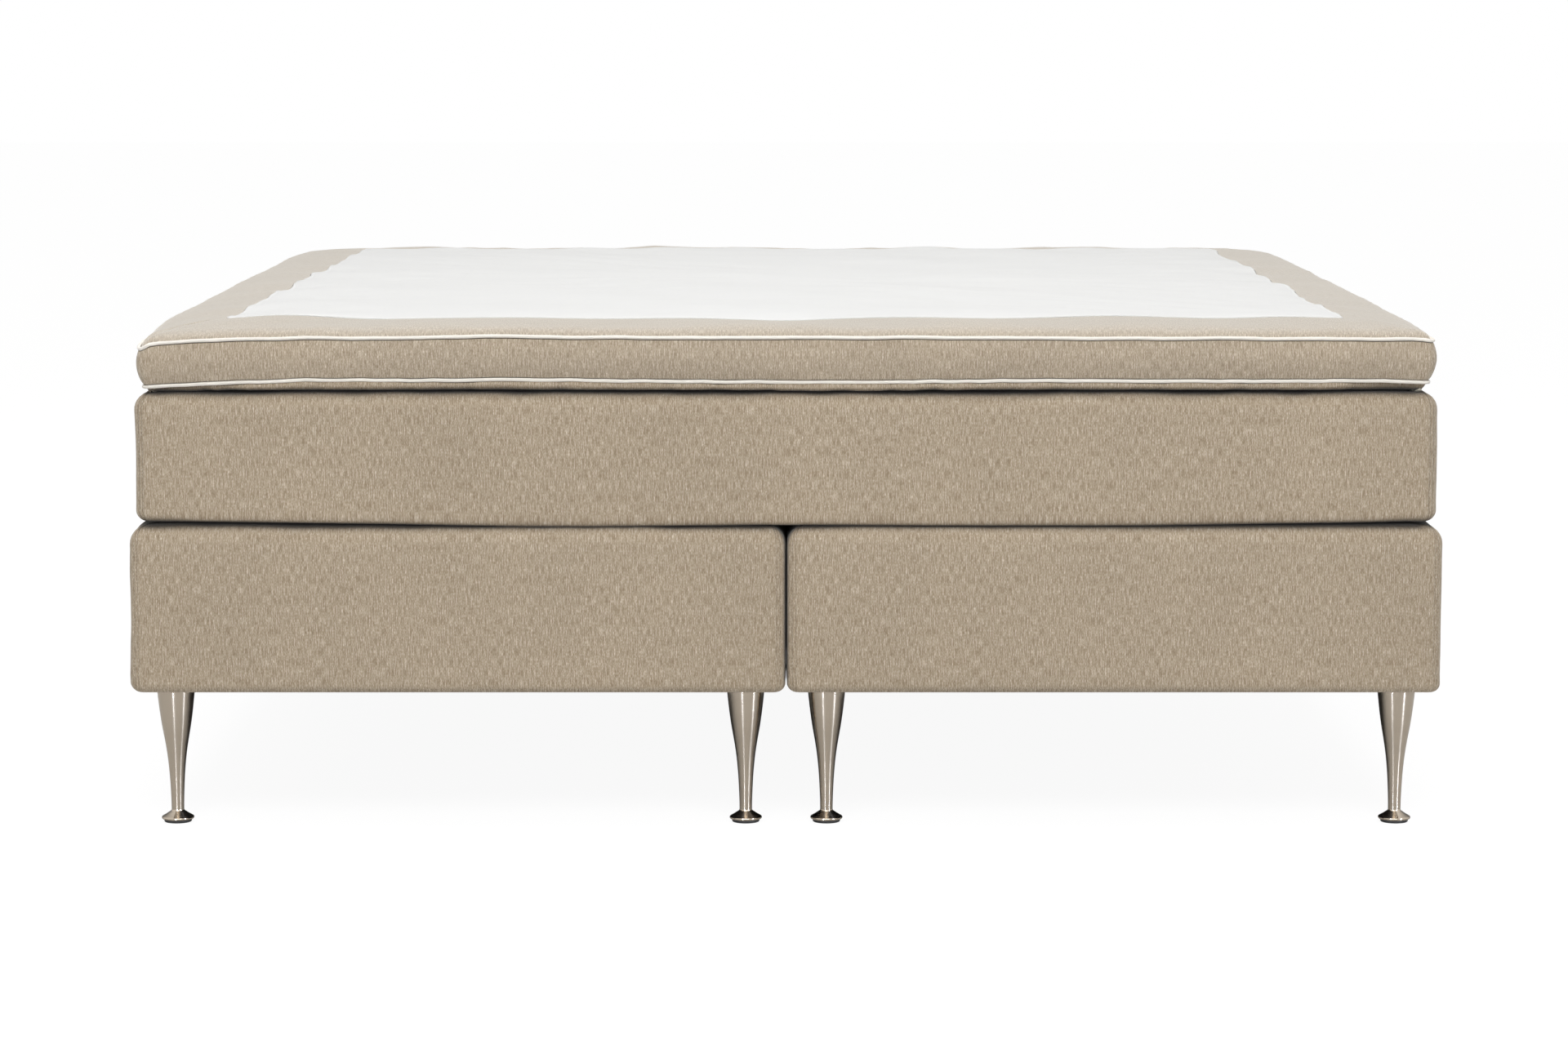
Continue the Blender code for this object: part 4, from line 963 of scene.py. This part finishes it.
def dress_underside(topper):
    """The underside bulges below the low cord, and rolls in under it near the corners."""
    start = LOW_CORD_INSET + CORD_SEAT
    bulging = topper.outline.clear(*BULGE_CLEAR)
    rows = []
    for out, back, up, _ in UNDERSIDE_SECTION:
        t = back / UNDERSIDE_RUN
        inset = start + back * (1 - bulging) + out * bulging
        rows.append((inset, LOW_CORD_HEIGHT * up, (1 - t) ** 2, 0.0, fall(t, 0, 0.6)))
    flat = np.linspace(start + UNDERSIDE_RUN, topper.spine, UNDERSIDE_FLAT_ROWS + 1)[1:]
    rows += [(inset, 0.0, 0.0, 0.0, 0.0) for inset in flat]
    points = topper.grid(rows)[::-1]
    folds = topper.folds(UNDERSIDE_FOLD_PITCH, 61, UNDERSIDE_FOLDS_CLEAR)
    soft = 0.5 + 0.5 * ripple(topper.outline.ring3, 0.22, 62)
    weight = np.array([row[3] for row in UNDERSIDE_SECTION] + [0] * UNDERSIDE_FLAT_ROWS)[::-1]
    bulge = (UNDERSIDE_BULGE * soft - UNDERSIDE_FOLD * folds)[None] * weight[:, None]
    points += normals_of(points) * bulge[..., None]
    topper.dress("topper_underside_cloth", points, BEIGE, "beige_fabric", "topper_underside",
                 flat_rows=range(UNDERSIDE_FLAT_ROWS), cap_first=True)
    return points


def dress_band(topper):
    """The side band between the cords, plain at the head end, where the zip is."""
    low, high = LOW_CORD_HEIGHT + CORD_SEAT, HIGH_CORD_HEIGHT - CORD_SEAT
    head = topper.outline.sides == 0
    rows = []
    for t in BAND_SHARES:
        inset = LOW_CORD_INSET * math.exp(-t / BAND_CURVE_SHARE)
        inset += HIGH_CORD_INSET * max(0, (t - BAND_TOP_TURN) / (1 - BAND_TOP_TURN)) ** 2
        inset += BAND_TUCK * (bell(t, 0, BAND_TUCK_SHARE) + bell(t, 1, BAND_TUCK_SHARE))
        out = np.where(head, 0, BAND_SWELL * math.sin(math.pi * t))
        rows.append((inset - out, low + (high - low) * t, 1.0, t, 1.0))
    points = topper.grid(rows)
    wave = ripples(points, BAND_WAVES, 71)
    wave = np.where(head, np.minimum(wave, 0) * 0.2, wave) * np.sin(np.pi * BAND_SHARES)[:, None]
    points += normals_of(points) * wave[..., None]
    topper.dress("topper_band_cloth", points, PAINTED_LIGHT_BAND_BEIGE, "beige_fabric", "topper_band")
    return points


def dress_border(topper):
    """The beige border on top: puffed inside the high cord, and rising to the centre panel's seam."""
    start = HIGH_CORD_INSET + CORD_SEAT
    width = BORDER_WIDTH - start
    shoulder = SIDE_SHOULDER * topper.flank
    rows = []
    for t in BORDER_SHARES:
        puff = (BORDER_PUFF + shoulder) * (1 - math.exp(-width * t / BORDER_PUFF_RUN))
        height = HIGH_CORD_HEIGHT + (BORDER_RISE - shoulder) * (1 - (1 - t) ** BORDER_CURVE) + puff
        height = height + topper.side_drop * ((1 - t) ** 2 - math.exp(-t / 0.02))
        for edge, dip in enumerate(BORDER_SEAM_DIPS):
            height = height - dip * bell(t, edge, BORDER_SEAM_SHARE)
        height = height + topper.seam_lift * smooth(t / 0.9)
        rows.append((start + (width + topper.seam_wave) * t, height, 1 - 0.85 * smooth(t), 1.0, (1 - t) ** 2))
    points = topper.grid(rows)
    shares = BORDER_SHARES[:, None]
    folds = topper.folds(BORDER_FOLD_PITCH, 84, BORDER_FOLDS_CLEAR)
    wave = ripples(points, BORDER_WAVES, 85) * np.where(topper.long_side, 0.3, 1.0) * np.sin(np.pi * shares)
    wave = wave - BORDER_FOLD * (1 - 0.8 * topper.flank) * folds * bell(shares, *BORDER_FOLD_BELL)
    points += normals_of(points) * wave[..., None]
    topper.dress("topper_border_cloth", points, PAINTED_LIGHT_TOP_BEIGE, "beige_fabric", "topper_border",
                 flat_rows=range(len(shares) - 1), sides=topper.outline.sides)
    return points


def dress_centre(topper):
    """The white centre panel, with its beaded seam, its puffed edge and a slight crown."""
    places = [(BORDER_WIDTH + offset, bead) for offset, bead in PANEL_BEAD]
    places += [(inset, 0.0) for inset in np.linspace(BORDER_WIDTH + 0.025, BORDER_WIDTH + PANEL_RUN, 8)]
    places += [(inset, 0.0) for inset in np.linspace(BORDER_WIDTH + PANEL_RUN, topper.spine, 14)[1:]]
    rows = []
    for inset, bead in places:
        t = (inset - BORDER_WIDTH) / PANEL_RUN
        fade = 1 - smooth(t)
        height = HIGH_CORD_HEIGHT + BORDER_RISE + BORDER_PUFF + PANEL_RISE * smooth(t) + bead
        height += PANEL_PUFF * (1 - math.exp(-(inset - BORDER_WIDTH) / PANEL_PUFF_RUN))
        height = height + topper.seam_lift * fall(t, 0, 0.5)
        rows.append((inset + topper.seam_wave * fade, height, 0.15 * fade, 1.0, 0.0))
    points = topper.grid(rows)
    reach = rise(np.array(places)[:, :1], BORDER_WIDTH, 0.10)
    points[..., 2] += reach * ripples(points[..., :2], PANEL_WAVES, 91)
    topper.dress("topper_centre_knit", points, WHITE, "white_stretch_fabric", "topper_centre_panel",
                 flat_rows=range(len(places) - 1), cap_last=True)
    return points


def dress_core(underside, band, border, centre):
    """The foam core, a little inside the four panels."""
    skin = np.concatenate([underside[::2], band[1:-1:2], border[1::2], centre[2::2]])[:, ::3]
    points = skin - normals_of(skin) * (CLOTH + CORE_CLEAR)
    along, up = np.zeros(points.shape[1] + 1), np.zeros(len(points))
    verts, faces, _ = ring_mesh(points, along, up, cap_first=True, cap_last=True)
    core = new_piece("topper_foam_core", verts, faces, None, FOAM, "topper", ["topper_core"], solid=0)


def cord_rings(path):
    """Rows round a closed cord, with columns along it; the first row is repeated at the end."""
    tangent = np.roll(path, -1, axis=0) - np.roll(path, 1, axis=0)
    tangent /= np.linalg.norm(tangent, axis=1)[:, None]
    outward = np.cross(tangent, (0, 0, 1.0))
    outward /= np.linalg.norm(outward, axis=1)[:, None]
    upward = np.cross(outward, tangent)
    twist = (1 + 0.03 * np.sin(np.arange(len(path)) * 0.9))[:, None]
    turns = np.linspace(0, 2 * math.pi, CORD_SIDES + 1)
    arms = [outward * math.cos(turn) + upward * math.sin(turn) for turn in turns]
    return np.stack([path + arm * CORD_RADIUS * twist for arm in arms])


def dress_cord(topper, name, node, inset, height, level):
    """One piping cord round the topper."""
    points = cord_rings(topper.grid([(inset, height, 1.0, level, 1.0)])[0])
    round_it = np.linspace(0, 2 * math.pi * CORD_RADIUS, len(points))
    verts, faces, uvs = ring_mesh(points, topper.outline.along, round_it)
    new_piece(name, verts, faces, uvs, CREAM, "topper", [node], solid=0)


def dress_topper():
    """The four panels, the core in them and the two cords."""
    topper = Topper()
    skins = [dress(topper) for dress in (dress_underside, dress_band, dress_border, dress_centre)]
    dress_core(*skins)
    dress_cord(topper, "topper_cord_low", "topper_piping_bottom", LOW_CORD_INSET, LOW_CORD_HEIGHT, 0.0)
    dress_cord(topper, "topper_cord_high", "topper_piping_top", HIGH_CORD_INSET, HIGH_CORD_HEIGHT, 1.0)


# Hardware
def smoothed(profile):
    """A Catmull-Rom curve through (radius, height) points."""
    points = [Vector(p) for p in profile]
    points = [2 * points[0] - points[1]] + points + [2 * points[-1] - points[-2]]
    found = []
    for a, b, c, d in zip(points, points[1:], points[2:], points[3:]):
        square, cube = 2 * a - 5 * b + 4 * c - d, 3 * b - a - 3 * c + d
        for t in (part / CURVE_PARTS for part in range(CURVE_PARTS)):
            found.append(0.5 * (2 * b + (c - a) * t + square * t * t + cube * t**3))
    return [tuple(p) for p in found + [points[-2]]]


def turned(name, profile, material, node, segments):
    """A turned piece from a profile of (radius, height), lowest first, with its weave up and round it."""
    middle, _ = plan(node)
    angles = np.arange(segments) * 2 * math.pi / segments
    circle = np.column_stack([np.cos(angles), np.sin(angles)])
    rows = [(AXIS_RADIUS, profile[0][1]), *profile, (AXIS_RADIUS, profile[-1][1])]
    points = np.stack([
        np.column_stack([middle + radius * circle, np.full(segments, height)]) for radius, height in rows
    ])
    around = np.append(angles, 2 * math.pi) * ROUND_WEAVE
    verts, faces, uvs = ring_mesh(points, around, run_length(rows), cap_first=True, cap_last=True)
    uvs = [(v, u) for u, v in uvs]
    piece = new_piece(name, verts, faces, uvs, material, "base", [node], solid=0)
    piece.data.set_sharp_from_angle(angle=math.radians(50))


def dress_leg(side, place):
    """A turned leg with its foot disc, and the glide under it."""
    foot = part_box(f"leg_{place}")[0][2]
    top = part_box(f"base_cover_{side}")[0][2] + LEG_IN_COVER
    stretched = (top - foot - FOOT_OUTLINE[0][1]) / LEG_OUTLINE[-1][1]
    neck = [(radius, top - down * stretched) for radius, down in LEG_OUTLINE]
    disc = [(radius, foot + up) for radius, up in FOOT_OUTLINE]
    profile = [*(smoothed(neck) + smoothed(disc))[::-1], (LEG_TOP_RADIUS, top)]
    turned(f"leg_{place}_turned", profile, STEEL, f"leg_{place}", 72)
    low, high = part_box(f"glide_{place}")
    wide = (high[0] - low[0]) / 2
    glide = [(wide - GLIDE_EDGE, low[2]), (wide, low[2] + GLIDE_EDGE), (wide, high[2])]
    turned(f"glide_{place}_pad", glide, RUBBER, f"glide_{place}", 48)


def small_block(verts, faces, middle, size):
    """Add one block with its long edges taken off."""
    half = np.array(size) / 2
    corners = ((-1, -0.5), (-0.5, -1), (0.5, -1), (1, -0.5), (1, 0.5), (0.5, 1), (-0.5, 1), (-1, 0.5))
    add_rings(verts, faces, [[middle + half * (x, y, z) for y, z in corners] for x in (-1, 1)])


def dress_zip():
    """The zip across the head end: a woven tape, its coil of teeth and the stops at each end."""
    low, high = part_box("topper_zip")
    face = low[1] + ZIP_FACE
    middle_x, middle_z = (low[0] + high[0]) / 2, (low[2] + high[2]) / 2
    length, tall = high[0] - low[0], high[2] - low[2]
    xs, zs = np.linspace(high[0], low[0], TAPE_GRID[0]), np.linspace(low[2], high[2], TAPE_GRID[1])
    grid_x, grid_z = np.meshgrid(xs, zs, indexing="ij")
    bow = TAPE_BOW * np.cos((grid_z - middle_z) / tall * math.pi)
    points = np.stack([grid_x, face - TAPE_LIFT + bow, grid_z], axis=-1)
    faces, uvs = sheet_mesh(points[..., ::2])
    new_piece("topper_zip_tape", points.reshape(-1, 3), faces, uvs, TAPE, "topper",
              ["topper_zip"], solid=TAPE_THICK)
    verts, faces = [], []
    for index in range(round((length - 2 * ZIP_END) / TOOTH_PITCH)):
        x = low[0] + ZIP_END + index * TOOTH_PITCH
        for sign in (-1, 1):
            place = (x + TOOTH_PITCH / 2 * (sign > 0), face + TOOTH_LIFT, middle_z + sign * TOOTH_PITCH / 2)
            small_block(verts, faces, np.array(place), TOOTH_SIZE)
    for sign in (-1, 1):
        place = (middle_x + sign * (length / 2 - STOP_INSET), face + STOP_LIFT, middle_z)
        small_block(verts, faces, np.array(place), STOP_SIZE)
    new_piece("topper_zip_teeth", np.array(verts), faces, None, TEETH, "topper", solid=0)


def finish_frame():
    """Materials of the frame's own nodes: timber, foam, springs, steel."""
    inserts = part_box("leg_board_left_foot")[1][2] - INSERT_HEIGHT
    by_prefix = {
        "side_rail": timber("timber_side", GRAIN_ALONG_Y), "end_rail": timber("timber_end", GRAIN_ALONG_X),
        "slat": timber("timber_slat", GRAIN_ALONG_X),
        "leg_board": timber("timber_boards", GRAIN_ALONG_X, inserts),
        "base_foam": FOAM, "mattress_foam": FOAM,
        "base_spring_unit": POCKETS, "mattress_spring_core": POCKETS,
        "link_plate": ZINC, "zip_slider": ZINC,
    }
    for name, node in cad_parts.items():
        for prefix, material in by_prefix.items():
            if name.startswith(prefix):
                node.data.materials.clear()
                node.data.materials.append(material)


# Stage
def add_floor():
    """A wide pale floor, white to the camera apart from the bed's soft shadow."""
    m = Nodes("pale_floor")
    m.tree.nodes.clear()
    seen = m.add("ShaderNodeLightPath").outputs["Is Camera Ray"]
    plain = m.add("ShaderNodeBsdfDiffuse", {"Color": (0.68, 0.68, 0.68)}).outputs[0]
    white = m.add("ShaderNodeEmission", {"Color": (1, 1, 1), "Strength": 0.935}).outputs[0]
    shaded = m.add("ShaderNodeBsdfDiffuse", {"Color": (0.12, 0.12, 0.12)}).outputs[0]
    bright = m.add("ShaderNodeAddShader", {0: white, 1: shaded}).outputs[0]
    mixed = m.add("ShaderNodeMixShader", {0: seen, 1: plain, 2: bright}).outputs[0]
    m.add("ShaderNodeOutputMaterial", {"Surface": mixed})
    mesh = bpy.data.meshes.new("floor")
    corners = ((-1, -1), (1, -1), (1, 1), (-1, 1))
    verts = [(x * FLOOR_REACH, y * FLOOR_REACH, FLOOR_LEVEL) for x, y in corners]
    mesh.from_pydata(verts, [], [(0, 1, 2, 3)])
    mesh.materials.append(m.owner)
    floor = bpy.data.objects.new("floor", mesh)
    bpy.context.scene.collection.objects.link(floor)


def add_world():
    """Soft light, stronger from above.

    The camera sees it as plain white, and metal as white that dims toward the head end.
    """
    m = Nodes("studio", "worlds")
    m.tree.nodes.clear()
    bpy.context.scene.world = m.owner
    way = m.add("ShaderNodeSeparateXYZ", {0: m.add("ShaderNodeTexCoord").outputs["Generated"]}).outputs
    ray = m.add("ShaderNodeLightPath").outputs
    level = m.stretch(way["Z"], 0.0, 1.0, *WORLD_LEVELS)
    soft = m.add("ShaderNodeBackground", {"Color": WORLD_TINT, "Strength": level}).outputs[0]
    strength = m.math("MAXIMUM", ray["Is Camera Ray"], m.stretch(way["Y"], 0.35, 0.85, 1.0, 0.22))
    white = m.add("ShaderNodeBackground", {"Color": (1, 1, 1), "Strength": strength}).outputs[0]
    seen = m.math("MAXIMUM", ray["Is Camera Ray"], ray["Is Glossy Ray"])
    mixed = m.add("ShaderNodeMixShader", {0: seen, 1: soft, 2: white}).outputs[0]
    m.add("ShaderNodeOutputWorld", {"Surface": mixed})


def add_lamp(name, place, target, size, power, metal_only=False):
    """A soft box that faces a target, or one that only shows in the metal."""
    data = bpy.data.lights.new(name, "AREA")
    data.shape = "RECTANGLE"
    data.size, data.size_y = size
    data.energy = power
    if metal_only:
        data.color = STRIP_TINT
    lamp = bpy.data.objects.new(name, data)
    lamp.location = place
    lamp.rotation_mode = "QUATERNION"
    lamp.rotation_quaternion = (Vector(target) - Vector(place)).to_track_quat("-Z", "Y")
    lamp.visible_diffuse = not metal_only
    bpy.context.scene.collection.objects.link(lamp)


def add_camera():
    """The camera that matches the photograph."""
    data = bpy.data.cameras.new("camera")
    data.sensor_width = SENSOR_WIDTH
    data.lens = CAMERA_LENS
    data.clip_end = 100
    camera = bpy.data.objects.new("camera", data)
    camera.location = CAMERA_PLACE
    camera.rotation_euler = (QUARTER - CAMERA_DOWN, 0, 0)
    bpy.context.scene.collection.objects.link(camera)
    bpy.context.scene.camera = camera


add_camera()
add_world()
add_floor()
add_lamp("overhead", (0, 0.2, 4.2), (0, 0, 0.6), (4.0, 3.2), 70)
add_lamp("key", (0, -5.2, 4.6), (0, -0.7, 0.45), (4.4, 2.4), 175)
add_lamp("strip_left", (-1.45, -4.6, 1.1), (0, -1.0, 0.3), (0.13, 2.0), 135, metal_only=True)
add_lamp("strip_right", (3.3, -3.4, 1.1), (0, -1.0, 0.3), (0.17, 2.0), 190, metal_only=True)

dress_base("left", 11)
dress_base("right", 21)
dress_mattress()
dress_topper()
for leg_side in ("left", "right"):
    for leg_end in ("foot", "head"):
        for leg_flank in ("outer", "inner"):
            dress_leg(leg_side, f"{leg_side}_{leg_end}_{leg_flank}")
dress_zip()
for base_side, base_seed in (("left", 101), ("right", 102)):
    flat_cloth(f"dust_cloth_{base_side}", f"dust_cover_{base_side}", "base",
               DUST, raised=0.0002, wave=0.0004, seed=base_seed, thick=0.0006)
flat_cloth("mattress_underside_cloth", "mattress_underside", "mattress",
           BEIGE, raised=0.0004, wave=0.0003, seed=103, thick=0.0018)
finish_frame()

bpy.context.scene.view_settings.view_transform = "Standard"
